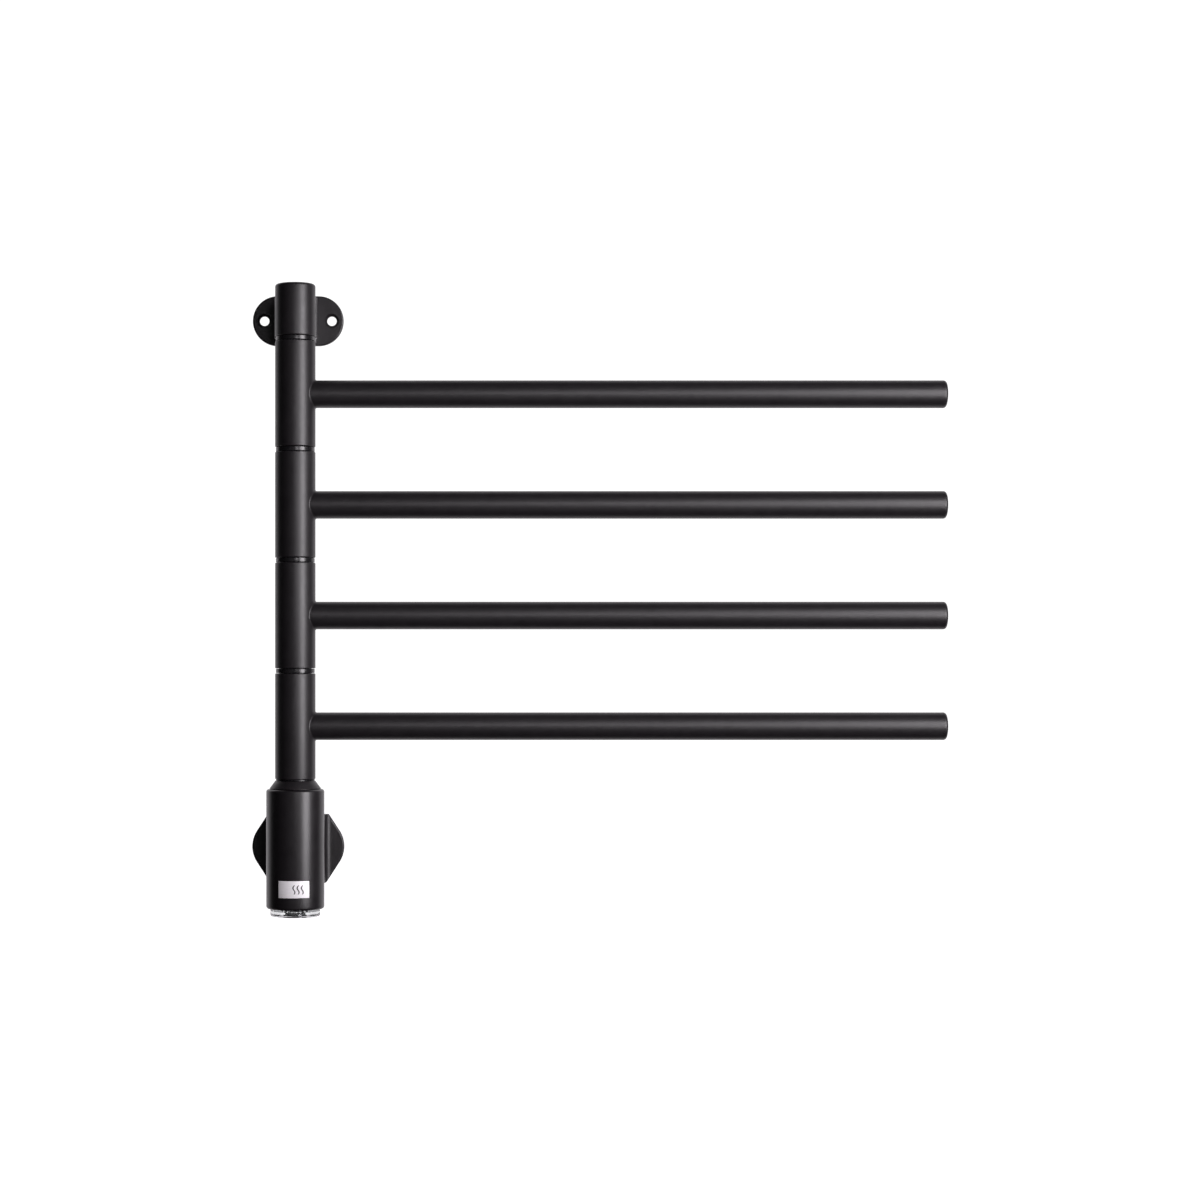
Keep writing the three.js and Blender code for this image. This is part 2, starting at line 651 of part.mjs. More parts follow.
function upperBracket() {
  const outline = obround(UPPER_HALF_WIDTH, UPPER_HALF_HEIGHT);
  const plate = wallPlate(outline, UPPER_THICKNESS, UPPER_CHAMFER);
  const [foot, front] = [[STEM_FOOT_HALF_WIDTH, -UPPER_THICKNESS], [STEM_HALF_WIDTH, -STEM_DEPTH]];
  const section = stemSection(foot, front, STEM_FILLET, STEM_CORNER);
  const tools = [postClearance(POST_RADIUS + GAP)];
  for (const side of [-1, 1]) {
    const x = side * UPPER_HOLE_X;
    const depth = UPPER_COUNTERSINK - UPPER_HOLE_RADIUS;
    tools.push(rod(UPPER_HOLE_RADIUS, [x, -2 * UPPER_THICKNESS, 0], [x, UPPER_THICKNESS, 0], HOLE_ROUND));
    const mouth = UPPER_COUNTERSINK + BEYOND;
    const sink = [[0, -depth], [UPPER_HOLE_RADIUS, -depth], [mouth, BEYOND], [0, BEYOND]];
    tools.push(turned(sink, HOLE_ROUND).rotateX(Math.PI / 2).translate(x, -UPPER_THICKNESS, 0));
  }
  for (const z of SLEEVE_BOLT_HEIGHTS) {
    tools.push(rod(BOLT_HOLE, [0, -AXIS_TO_WALL, z], [0, BEYOND, z]));
    tools.push(rod(BOLT_HEAD_HOLE, [0, SLEEVE_BOLT_HEAD_Y - GAP, z], [0, BEYOND, z], HOLE_ROUND));
  }
  return cut(join(plate, extruded(section, ...STEM_SPAN, 3)), ...tools);
}

// A cap-head bolt along Y: its head towards the wall, its shank away from it.
function bolt(headY, tipY, x, z) {
  const top = headY + BOLT_HEAD_HEIGHT;
  const head = rod(BOLT_HEAD_RADIUS, [x, headY, z], [x, top, z], HOLE_ROUND);
  const shank = rod(BOLT_RADIUS, [x, tipY, z], [x, headY + BEYOND, z]);
  const socket = rod(BOLT_SOCKET_RADIUS, [x, headY + BOLT_SOCKET_FLOOR, z], [x, top + BEYOND, z], HEXAGON);
  return cut(join(head, shank), socket);
}

// Lower bracket

// A rounded lozenge cut off flat above and, further from its middle, below.
function wingOutline() {
  const shape = new THREE.Shape();
  const centre = WING_HALF_WIDTH - WING_TIP_RADIUS;
  const tip = 90 - WING_SLOPE;
  const tangentX = centre + WING_TIP_RADIUS * Math.cos(degrees(tip));
  const tangentZ = WING_TIP_RADIUS * Math.sin(degrees(tip));
  const shoulder = (height) => tangentX - (height - tangentZ) / Math.tan(degrees(WING_SLOPE));
  shape.moveTo(-shoulder(-CRADLE_BOTTOM), CRADLE_BOTTOM);
  shape.lineTo(shoulder(-CRADLE_BOTTOM), CRADLE_BOTTOM);
  shape.absarc(centre, 0, WING_TIP_RADIUS, degrees(-tip), degrees(tip), false);
  shape.lineTo(shoulder(CRADLE_TOP), CRADLE_TOP);
  shape.lineTo(-shoulder(CRADLE_TOP), CRADLE_TOP);
  shape.absarc(-centre, 0, WING_TIP_RADIUS, degrees(180 - tip), degrees(180 + tip), false);
  return shape.closePath();
}

function lowerBracket() {
  const outline = wingOutline();
  const wings = wallPlate(outline, WING_THICKNESS, WING_CHAMFER);
  const front = -CRADLE_DEPTH;
  const foot = [CRADLE_HALF_WIDTH, -WING_THICKNESS];
  const section = stemSection(foot, [CRADLE_HALF_WIDTH, front], CRADLE_FILLET, CRADLE_CORNER);
  const column = extruded(section, CRADLE_BOTTOM, CRADLE_TOP, 3);
  const block = common(column, wallPrism(outline, 0, CRADLE_DEPTH + BEYOND));
  const width = [-CAVITY_HALF_WIDTH, CAVITY_HALF_WIDTH];
  const half = HOUSING_BOLT_SPACING / 2;
  const [bottom, ceiling] = [CRADLE_BOTTOM - BEYOND, -CAVITY_HALF_HEIGHT + BEYOND];
  const inside = -CAVITY_DEPTH / 2;
  const tools = [
    box(width, [-CAVITY_DEPTH, BEYOND], [-CAVITY_HALF_HEIGHT, CAVITY_HALF_HEIGHT]),
    postClearance(HOUSING_RADIUS + GAP),
    rod(BOLT_HOLE, [0, front, half], [0, inside, half]),
    rod(BOLT_HOLE, [0, front, -half], [0, inside, -half]),
    rod(SUPPLY_HOLE, [SUPPLY_X, front - BEYOND, 0], [SUPPLY_X, inside, 0]),
    rod(BOLT_HOLE, [0, LOCK_SCREW_Y, bottom], [0, LOCK_SCREW_Y, ceiling]),
  ];
  return cut(join(wings, block), ...tools);
}

// The steel plate that is screwed to the wall, with the cable window and two bent lips.
function lowerWallPlate() {
  const half = WALL_PLATE_HALF_HEIGHT;
  const thickness = WALL_PLATE_THICKNESS;
  const plate = box([-WALL_PLATE_HALF_WIDTH, WALL_PLATE_HALF_WIDTH], [-thickness, 0], [-half, half]);
  const lipWidth = [-WALL_LIP_HALF_WIDTH, WALL_LIP_HALF_WIDTH];
  const lipDepth = [-WALL_LIP_DEPTH, -thickness / 2];
  const upperLip = box(lipWidth, lipDepth, [half - thickness, half]);
  const lowerLip = box(lipWidth, lipDepth, [-half, -half + thickness]);
  const [back, front] = [thickness, -2 * thickness];
  const tools = [WALL_SCREW_Z, -WALL_SCREW_Z].map((z) => {
    return rod(WALL_SCREW_HOLE, [0, front, z], [0, back, z], HOLE_ROUND);
  });
  tools.push(rod(WINDOW.radius, [WINDOW.x, front, WINDOW.z], [WINDOW.x, back, WINDOW.z], MEDIUM_ROUND));
  return cut(join(plate, upperLip, lowerLip), ...tools);
}

function lockScrew() {
  const end = CRADLE_BOTTOM + GAP;
  const tip = -WALL_PLATE_HALF_HEIGHT - GAP;
  const screw = rod(BOLT_RADIUS, [0, LOCK_SCREW_Y, end], [0, LOCK_SCREW_Y, tip]);
  const [below, floor] = [end - BEYOND, end + LOCK_SOCKET_DEPTH];
  const socket = rod(LOCK_SOCKET_RADIUS, [0, LOCK_SCREW_Y, below], [0, LOCK_SCREW_Y, floor], HEXAGON);
  return cut(screw, socket);
}

function cableGrommet() {
  const { bore, flange, back, shoulder, front } = GROMMET;
  const neck = WINDOW.radius - GAP;
  const profile = [[bore, back], [neck, back], [neck, shoulder]];
  profile.push([flange, shoulder], [flange, front], [bore, front]);
  const bush = turned(closed(profile), MEDIUM_ROUND);
  return bush.rotateX(Math.PI / 2).translate(WINDOW.x, 0, WINDOW.z);
}

function cableClamp() {
  const { x, y, z, notch } = CLAMP;
  const depth = -WALL_PLATE_THICKNESS;
  const cableNotch = rod(notch, [WINDOW.x, depth, -WALL_PLATE_HALF_HEIGHT], [WINDOW.x, depth, 0]);
  return cut(box(x, y, z), cableNotch);
}

function terminalBlock() {
  const { x, front, back, halfHeight } = TERMINAL;
  const { radius, depth, y, spacing } = TERMINAL_HOLE;
  const body = box(x, [-front, -back], [-halfHeight, halfHeight]);
  const heights = [-spacing, 0, spacing];
  const holes = heights.map((z) => rod(radius, [-BEYOND, y, z], [depth, y, z], TINY_ROUND));
  return cut(body, ...holes);
}

// Assembly

function placed(mesh, x, y, z) {
  mesh.position.set(x, y, z);
  return mesh;
}

function arm(index) {
  const number = index + 1;
  const group = new THREE.Group();
  group.position.z = armHeight(index);
  group.add(part("hub_" + number, hub(), SATIN_BLACK));
  group.add(part("arm_tube_" + number, armTube(), SATIN_BLACK));
  group.add(part("arm_cap_" + number, armCap(), SATIN_BLACK));
  group.add(part("stop_pin_" + number, stopPin(), DARK_STEEL));
  group.add(part("heater_" + number, heater(), HEATER_SILVER));
  group.add(part("heater_lead_" + number, heaterLead(), RED_SHEATH));
  return group;
}

// One ring above each hub, and a thin one under the last.
function bearingRings() {
  const rings = [];
  for (let i = 0; i < ARM_COUNT; i++) {
    const mesh = part("bearing_ring_" + (i + 1), bearingRing(RING_HEIGHT, SPIGOT_LONG, true), BEARING_BLACK);
    rings.push(placed(mesh, 0, 0, FIRST_GROOVE_Z - i * ARM_PITCH));
  }
  const washer = bearingRing(WASHER_HEIGHT, SPIGOT_LOWEST, false);
  const last = part("bearing_ring_" + (ARM_COUNT + 1), washer, BEARING_BLACK);
  return [...rings, placed(last, 0, 0, WASHER_Z)];
}

function post() {
  const group = new THREE.Group();
  group.position.y = -AXIS_TO_WALL;
  group.add(part("core_tube", coreTube(), BRUSHED_STEEL));
  group.add(part("top_sleeve", topSleeve(), SATIN_BLACK));
  group.add(...bearingRings());
  group.add(part("housing_collar", housingCollar(), SATIN_BLACK));
  group.add(part("core_nut", coreNut(), DARK_STEEL));
  group.add(part("control_housing", controlHousing(), SATIN_BLACK));
  group.add(part("badge", badge(), BRUSHED_STEEL));
  group.add(part("mounting_block", mountingBlock(), BRUSHED_STEEL));
  group.add(part("board_carrier", boardCarrier(), BLACK_PLASTIC));
  group.add(part("control_board", controlBoard(), BOARD_GREEN));
  group.add(part("power_relay", powerRelay(), BLACK_PLASTIC));
  group.add(part("board_capacitor", boardCapacitor(), BLACK_PLASTIC));
  group.add(part("push_switch", pushSwitch(), BLACK_PLASTIC));
  group.add(placed(part("status_light", statusLight(), LIGHT_RED), STATUS_LIGHT_X, 0, 0));
  group.add(part("button_guide", buttonGuide(), WHITE_PLASTIC));
  group.add(part("push_button", pushButton(), CLEAR_PLASTIC));
  group.add(part("retaining_ring", retainingRing(), DARK_STEEL));
  group.add(part("button_spring", buttonSpring(), BRUSHED_STEEL));
  group.add(part("wiring_harness", wiringHarness(), GREY_SHEATH));
  group.add(part("supply_lead", supplyLead(), GREY_SHEATH));
  for (let i = 0; i < ARM_COUNT; i++) group.add(arm(i));
  return group;
}

function upperFittings() {
  const group = new THREE.Group();
  const tip = -AXIS_TO_WALL + CORE_RADIUS + SLEEVE_BOLT_CORE_GAP;
  group.add(part("upper_bracket", upperBracket(), SATIN_BLACK));
  SLEEVE_BOLT_HEIGHTS.forEach((z, i) => {
    group.add(part("sleeve_bolt_" + (i + 1), bolt(SLEEVE_BOLT_HEAD_Y, tip, 0, z), DARK_STEEL));
  });
  return group;
}

function lowerFittings() {
  const group = new THREE.Group();
  group.position.z = LOWER_Z;
  group.add(part("lower_bracket", lowerBracket(), SATIN_BLACK));
  group.add(part("lower_wall_plate", lowerWallPlate(), DARK_STEEL));
  group.add(part("lock_screw", lockScrew(), DARK_STEEL));
  group.add(part("cable_grommet", cableGrommet(), BLACK_PLASTIC));
  group.add(part("cable_clamp", cableClamp(), WHITE_PLASTIC));
  group.add(part("terminal_block", terminalBlock(), WHITE_PLASTIC));
  [1, -1].forEach((side, i) => {
    const z = (side * HOUSING_BOLT_SPACING) / 2;
    const geometry = bolt(-CAVITY_DEPTH + GAP, HOUSING_BOLT_TIP_Y, 0, z);
    group.add(part("housing_bolt_" + (i + 1), geometry, DARK_STEEL));
  });
  return group;
}

const rack = new THREE.Group();
rack.add(post(), upperFittings(), lowerFittings());

export default rack;
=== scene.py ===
"""The finished surfaces of an electric towel warmer with four swivelling arms.

Metres, +Z up. The wall is the plane Y = 0, the front faces -Y, and at rest the arms point to +X.
"""

import math

import bmesh
import bpy
from mathutils import Matrix, Vector


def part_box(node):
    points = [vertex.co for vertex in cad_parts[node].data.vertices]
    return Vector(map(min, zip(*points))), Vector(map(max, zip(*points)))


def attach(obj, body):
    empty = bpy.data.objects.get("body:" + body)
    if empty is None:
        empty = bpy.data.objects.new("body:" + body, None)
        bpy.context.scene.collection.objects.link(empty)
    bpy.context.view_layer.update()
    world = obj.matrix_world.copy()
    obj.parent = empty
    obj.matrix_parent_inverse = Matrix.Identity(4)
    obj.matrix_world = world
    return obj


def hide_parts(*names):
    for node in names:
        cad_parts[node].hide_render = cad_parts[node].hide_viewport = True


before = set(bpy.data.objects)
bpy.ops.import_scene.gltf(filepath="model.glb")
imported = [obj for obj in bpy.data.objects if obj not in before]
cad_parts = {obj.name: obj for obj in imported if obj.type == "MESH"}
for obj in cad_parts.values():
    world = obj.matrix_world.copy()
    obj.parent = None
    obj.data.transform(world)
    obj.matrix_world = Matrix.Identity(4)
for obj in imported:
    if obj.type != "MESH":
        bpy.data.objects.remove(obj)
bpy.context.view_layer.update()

MM = 0.001
SEGMENTS = 128
SMALL_SEGMENTS = 64
ARC_STEPS = 8
FILLET_STEPS = 12
SHARP_ANGLE = math.radians(32)
BEND_STEP = 0.5 * MM
BREAK_ANGLE = math.radians(38)
TINY = 1e-9
CORNER_SIGNS = ((-1, -1), (1, -1), (1, 1), (-1, 1))


def middle(node):
    low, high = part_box(node)
    return (low + high) / 2


def half_width(node):
    low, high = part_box(node)
    return (high.x - low.x) / 2


def bottom_of(node):
    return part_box(node)[0].z


def top_of(node):
    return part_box(node)[1].z


# Sizes measured on the frame
ARM_NUMBERS = range(1, 1 + sum(name.startswith("hub_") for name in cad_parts))
POST_Y = middle("top_sleeve").y
POST_RADIUS = half_width("top_sleeve")
HOUSING_RADIUS = half_width("control_housing")
BUTTON_RADIUS = half_width("push_button")
ARM_RADIUS = (top_of("arm_tube_1") - bottom_of("arm_tube_1")) / 2
ARM_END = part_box("arm_cap_1")[1].x
LOWER_Z = middle("lower_wall_plate").z

# Post: sleeve, hubs, rings and collar
POST_BORE = 12.8 * MM
CORE_CLEARANCE = 9.8 * MM
BORE_EDGE = 0.2 * MM
SLEEVE_EDGE = 2.3 * MM
SLEEVE_RECESS = 9 * MM
HUB_EDGE = 0.8 * MM
SPIGOT_GAP = 0.2 * MM
SPIGOT_EDGE = 0.3 * MM
UPPER_SPIGOT = 5.5 * MM
LOWER_SPIGOT = 8 * MM
LAST_SPIGOT = 5 * MM
FLANGE_RECESS = 0.55 * MM
FLANGE_EDGE = 0.35 * MM
LAST_FLANGE_EDGE = 0.15 * MM
COLLAR_LIFT = 0.4 * MM
COLLAR_GAP = 0.3 * MM
COLLAR_FOOT_EDGE = 0.25 * MM
COLLAR_TOP_EDGE = 0.5 * MM
COLLAR_BEARING = 5 * MM

# Arms
WELD_RADIUS = 1.1 * MM
WELD_STEPS = 8
WELD_ROOT = 0.98
ARM_BORE = 9.4 * MM
ARM_END_EDGE = 2.4 * MM
ARM_IN_HUB = 0.7 * MM
CAP_SHOULDER = ARM_END - ARM_END_EDGE
PLUG_LENGTH = 9.6 * MM
PLUG_EDGE = 0.5 * MM
EDGE_MARGIN = 0.02 * MM

# Control housing
HOUSING_BORE = 19.6 * MM
HOUSING_EDGE = 2.1 * MM
HOUSING_BORE_EDGE = 0.4 * MM
HOUSING_LIP_BORE = 16.3 * MM
HOUSING_LIP = 2.7 * MM
HOUSING_LIP_EDGE = 0.3 * MM
POCKET_WALL = 0.02 * MM
POCKET_WALL_ANGLE = 0.001

# Badge
BADGE_Z = middle("badge").z
BADGE_HALF_HEIGHT = (top_of("badge") - bottom_of("badge")) / 2
BADGE_HALF_ANGLE = math.asin(half_width("badge") / (HOUSING_RADIUS + 0.3 * MM))
BADGE_FLOOR = HOUSING_RADIUS - 0.6 * MM
BADGE_FRONT = HOUSING_RADIUS + 0.2 * MM
BADGE_GAP = 0.15 * MM
BADGE_CORNER = 0.25 * MM
BADGE_BACK_EDGE = 0.05 * MM
BADGE_FRONT_EDGE = 0.2 * MM
WAVE_PLACES = (0.2 * MM, 3.4 * MM, 6.6 * MM)
WAVE_HALF_HEIGHT = 3.6 * MM
WAVE_HALF_THICKNESS = 0.48 * MM
WAVE_SWING = 0.75 * MM
WAVE_TURN = 2.2 * math.pi
WAVE_END = 0.02
WAVE_LEVELS = [(0, 0.05 * MM), (0, -0.06 * MM), (0.08 * MM, -0.1 * MM)]

# Push button: the clear cup, its core, and the fittings round it
CUP_DISH = [(0, 0.5 * MM), (9 * MM, 0.25 * MM), (14 * MM, 0)]
CUP_FLOOR = 3.7 * MM
CUP_FOOT_EDGE = 1.2 * MM
CUP_EDGE = 0.3 * MM
CUP_NECK = 17 * MM
CUP_NECK_EDGE = 0.2 * MM
CUP_HEAD_GAP = 2 * MM
CUP_CAVITY = 14.5 * MM
CUP_CAVITY_FOOT = 1.3 * MM
FLUTE_TOP = 3 * MM
FLUTE_BOTTOM = 0.6 * MM
FLUTE_COUNT = 28
FLUTE_DEPTH = 0.5 * MM
FLUTE_MARGIN = 0.2 * MM
CLIP_GROOVE_RADIUS = 15.6 * MM
CLIP_GROOVE_HEIGHT = 1.6 * MM
CORE_RADIUS = 8 * MM
CORE_FLOOR = 0.9 * MM
CORE_GAP = 0.05 * MM
CORE_EDGES = (0.4 * MM, 0.2 * MM)
PLUNGER_RADIUS = 2.5 * MM
PLUNGER_EDGE = 0.3 * MM
PLUNGER_GAP = 1.8 * MM
GUIDE_BORE = 17.3 * MM
GUIDE_EDGE = 0.3 * MM
LAMP_STEPS = 12

# Both brackets
BACK_EDGE = 0.3 * MM
STEM_ROOT = 2 * MM
SADDLE_GAP = 0.05 * MM
BOLT_WAY = 2.3 * MM
BEYOND = 5 * MM

# Upper bracket
PLATE_EDGE = 1.2 * MM
PLATE_THICKNESS = 4.2 * MM
PLATE_HOLE_X = 26.4 * MM
PLATE_HOLE = 3.75 * MM
PLATE_COUNTERSINK = 5.6 * MM
STEM_FOOT_HALF = 12 * MM
STEM_HALF = 16.5 * MM
STEM_FILLET = 2.5 * MM
STEM_CORNER = 1.5 * MM
STEM_BOTTOM = -17.4 * MM
STEM_TOP = 14 * MM
STEM_EDGE = 0.3 * MM
HEAD_WAY = 3.9 * MM
HEAD_SEAT = 3.8 * MM
UPPER_SADDLE_REACH = 30 * MM
UPPER_BOLT_FRONT = -40 * MM

# Lower bracket
WING_EDGE = 1.4 * MM
WING_THICKNESS = 4 * MM
WING_TIP = 22.5 * MM
WING_SLOPE = math.radians(57)
WING_CORNER = 0.9 * MM
WING_STEPS = 32
BLOCK_HALF = 21 * MM
BLOCK_FILLET = 5 * MM
BLOCK_CORNER = 2 * MM
BLOCK_INSET = 0.06 * MM
BLOCK_BACK = -0.5 * MM
BLOCK_EDGE = 0.8 * MM
CAVITY_HALF_X = 18.6 * MM
CAVITY_HALF_Z = 20.8 * MM
CAVITY_CORNER = 2.5 * MM
CAVITY_DEPTH = 19.6 * MM
CAVITY_EDGE = 0.25 * MM
SCREW_WAY = 2.2 * MM
SCREW_WAY_LENGTH = 8 * MM
LOWER_SADDLE_REACH = 40 * MM
HOUSING_BOLT_Z = 12 * MM
HOUSING_BOLT_FRONT = -30 * MM
HOUSING_BOLT_BACK = -10 * MM

# Wall plate and grommet
WALL_PLATE_THICKNESS = 2 * MM
WALL_PLATE_CORNER = 1.5 * MM
WALL_PLATE_EDGES = (0.15 * MM, 0.2 * MM)
WALL_LIP_HALF = 10 * MM
WALL_SCREW_Z = 12.5 * MM
WALL_SCREW_HOLE = 2.6 * MM
WINDOW_RADIUS = 5.5 * MM
GROMMET_BORE = 3.8 * MM
GROMMET_NECK = 5.2 * MM
GROMMET_SHOULDER = 2.3 * MM
GROMMET_EDGE = 0.35 * MM

# Screws
CAP_HEAD_HEIGHT = 3.5 * MM
CAP_SHANK = 2 * MM
CAP_EDGE = 0.4 * MM
CAP_UNDER_EDGE = 0.2 * MM
CAP_SOCKET = 3 * MM
CAP_SOCKET_DEPTH = 1.7 * MM
KNURL_COUNT = 32
KNURL_DEPTH = 0.06 * MM
KNURL_START = 0.3 * MM
KNURL_END = 0.2 * MM
GRUB_POINT_EDGE = 0.3 * MM
GRUB_EDGE = 0.5 * MM
GRUB_SOCKET = 2 * MM
GRUB_SOCKET_DEPTH = 2 * MM

# Camera (its sensor and lens in millimetres), lights and floor
CAMERA_SENSOR = 36
CAMERA_LENS = 78.1
CAMERA_SHIFT = (0.1346, 0.0417)
CAMERA_X = 0.11
CAMERA_Z = -0.258
CAMERA_DISTANCE = 2.0
LIGHT_TARGET_Z = -0.2
LIGHT_TINT = (1.0, 0.96, 1.0)
STUDIO_DARK = 0.013
STUDIO_BRIGHT = 1.0
STUDIO_EDGE = (0.30, 0.60)
BACKDROP_STRENGTH = 1.1
FLOOR_REACH = 4.0
FLOOR_Z = -0.62


# ---------------------------------------------------------------- outlines

def turned_by(point, angle):
    cosine, sine = math.cos(angle), math.sin(angle)
    return Vector((point.x * cosine - point.y * sine, point.x * sine + point.y * cosine))


def arc(x, y, radius, start, end, steps):
    """Points on an arc about (x, y), between two angles in degrees."""
    first, last = math.radians(start), math.radians(end)
    angles = [first + (last - first) * step / steps for step in range(steps + 1)]
    return [Vector((x + radius * math.cos(a), y + radius * math.sin(a))) for a in angles]


def eased(corners, closed=True):
    """An outline from corners (x, y) or (x, y, radius), those with a radius rounded by an arc."""
    points = []
    count = len(corners)
    for index, (x, y, *radius) in enumerate(corners):
        corner = Vector((x, y))
        at_end = not closed and index in (0, count - 1)
        if at_end or not radius:
            points.append(corner)
            continue
        before = (Vector(corners[index - 1][:2]) - corner).normalized()
        after = (Vector(corners[(index + 1) % count][:2]) - corner).normalized()
        half = before.angle(after) / 2
        centre = corner + (before + after).normalized() * radius[0] / math.sin(half)
        start = corner + before * radius[0] / math.tan(half) - centre
        end = corner + after * radius[0] / math.tan(half) - centre
        sweep = math.atan2(start.cross(end), start.dot(end))
        points += [centre + turned_by(start, sweep * k / ARC_STEPS) for k in range(ARC_STEPS + 1)]
    return points


def shrunk(outline, inset):
    """A counter-clockwise outline moved inwards by the same distance all round."""
    moved = []
    for index, point in enumerate(outline):
        before = (point - outline[index - 1]).normalized()
        after = (outline[(index + 1) % len(outline)] - point).normalized()
        first, second = Vector((-before.y, before.x)), Vector((-after.y, after.x))
        moved.append(point + (first + second) * inset / (1 + first.dot(second)))
    return moved


def rounded_rectangle(half_x, half_y, radius):
    corners = [(half_x, -half_y), (half_x, half_y), (-half_x, half_y), (-half_x, -half_y)]
    return eased([(x, y, radius) for x, y in corners])


# ---------------------------------------------------------------- meshes

def piece(name, vertices, faces):
    mesh = bpy.data.meshes.new(name)
    mesh.from_pydata([tuple(v) for v in vertices], [], faces)
    body = bpy.data.objects.new(name, mesh)
    bpy.context.scene.collection.objects.link(body)
    smooth(body)
    return body


def smooth(body):
    """Turns every face outwards and shades the mesh smooth, except over its sharp edges."""
    work = bmesh.new()
    work.from_mesh(body.data)
    bmesh.ops.remove_doubles(work, verts=work.verts, dist=TINY)
    bmesh.ops.recalc_face_normals(work, faces=work.faces)
    if work.calc_volume(signed=True) < 0:
        bmesh.ops.reverse_faces(work, faces=work.faces)
    work.to_mesh(body.data)
    work.free()
    body.data.shade_smooth()
    body.data.set_sharp_from_angle(angle=SHARP_ANGLE)


def placed(body, matrix):
    body.data.transform(matrix)
    return body


def loft(name, rings, loop=False):
    """A closed body through rings of points: capped at both ends, or joined from last to first."""
    count = len(rings[0])
    vertices = [point for ring in rings for point in ring]
    pairs = list(zip(range(len(rings)), range(1, len(rings))))
    if loop:
        pairs.append((len(rings) - 1, 0))
    faces = []
    for low, high in pairs:
        for k in range(count):
            following = (k + 1) % count
            near, far = low * count, high * count
            faces.append((near + k, near + following, far + following, far + k))
    if not loop:
        faces.append(tuple(range(count)))
        faces.append(tuple(range(len(vertices) - count, len(vertices))))
    return piece(name, vertices, faces)


def even_angles(count):
    return [2 * math.pi * k / count for k in range(count)]


def turned(name, profile, closed=True, segments=SEGMENTS, angles=None, relief=None):
    """Turns a profile of (radius, z) about the Z axis. An open profile starts and ends on the axis.

    relief(angle, z) is added to the radius.
    """
    angles = angles or even_angles(segments)
    vertices, rings = [], []
    for radius, z in profile:
        first = len(vertices)
        if radius < TINY:
            vertices.append((0, 0, z))
            rings.append([first])
            continue
        for angle in angles:
            reach = radius + (relief(angle, z) if relief else 0)
            vertices.append((reach * math.cos(angle), reach * math.sin(angle), z))
        rings.append(list(range(first, first + len(angles))))
    pairs = list(zip(rings, rings[1:]))
    if closed:
        pairs.append((rings[-1], rings[0]))
    faces = []
    for low, high in pairs:
        for k in range(len(angles)):
            following = (k + 1) % len(angles)
            around = [low[k % len(low)], low[following % len(low)]]
            around += [high[following % len(high)], high[k % len(high)]]
            face = tuple(dict.fromkeys(around))
            if len(face) > 2:
                faces.append(face)
    return piece(name, vertices, faces)


def on_post(body, z=0):
    return placed(body, Matrix.Translation((0, POST_Y, z)))


def out_of_wall(body, x, y, z):
    """Lays a body turned about Z along -Y, so that its z runs out of the wall."""
    return placed(body, Matrix.Translation((x, y, z)) @ Matrix.Rotation(math.pi / 2, 4, "X"))


def slab(name, outline, levels):
    """A closed body from an outline (x, z), repeated at each level (inset, y)."""
    rings = []
    for inset, y in levels:
        rings.append([(p.x, y, p.y) for p in shrunk(outline, inset)])
    return loft(name, rings)


def eased_levels(back, front, back_edge, front_edge, steps=ARC_STEPS):
    """Levels for a slab between two depths, with a round edge at the back and at the front."""
    levels = []
    for k in range(steps + 1):
        a = math.pi / 2 * k / steps
        levels.append((back_edge * (1 - math.sin(a)), back - back_edge * (1 - math.cos(a))))
    for k in range(steps + 1):
        a = math.pi / 2 * k / steps
        levels.append((front_edge * (1 - math.cos(a)), front + front_edge * (1 - math.sin(a))))
    return levels


def column(name, section, bottom, top):
    """A straight body along Z from a section (x, y)."""
    return loft(name, [[(p.x, p.y, z) for p in section] for z in (bottom, top)])


def rod(name, radius, start, end, segments=SMALL_SEGMENTS):
    """A plain round tool between two points."""
    start, end = Vector(start), Vector(end)
    along = end - start
    ring = arc(0, 0, radius, 0, 360, segments)[:-1]
    rings = [[(p.x, p.y, z) for p in ring] for z in (0, along.length)]
    turn = along.to_track_quat("Z", "Y").to_matrix().to_4x4()
    return placed(loft(name, rings), Matrix.Translation(start) @ turn)


def settled(body):
    """Applies the body's modifiers to its mesh."""
    evaluated = body.evaluated_get(bpy.context.evaluated_depsgraph_get())
    mesh = bpy.data.meshes.new_from_object(evaluated)
    body.modifiers.clear()
    body.data = mesh
    return body


def combined(body, operation, *tools):
    for tool in tools:
        modifier = body.modifiers.new("shape", "BOOLEAN")
        modifier.object = tool
        modifier.operation = operation
        modifier.solver = "EXACT"
        settled(body)
        bpy.data.objects.remove(tool)
    smooth(body)
    return body


def with_edges(body, width, segments=3):
    """Breaks a body's sharp edges, and keeps its flat faces flat in the shading."""
    bevel = body.modifiers.new("edges", "BEVEL")
    bevel.width = width
    bevel.segments = segments
    bevel.limit_method = "ANGLE"
    bevel.angle_limit = BREAK_ANGLE
    bevel.miter_outer = "MITER_ARC"
    weighted = body.modifiers.new("shading", "WEIGHTED_NORMAL")
    weighted.keep_sharp = True
    settled(body)
    return body


# ---------------------------------------------------------------- materials

NOISE_SPAN = (0.3, 0.7)


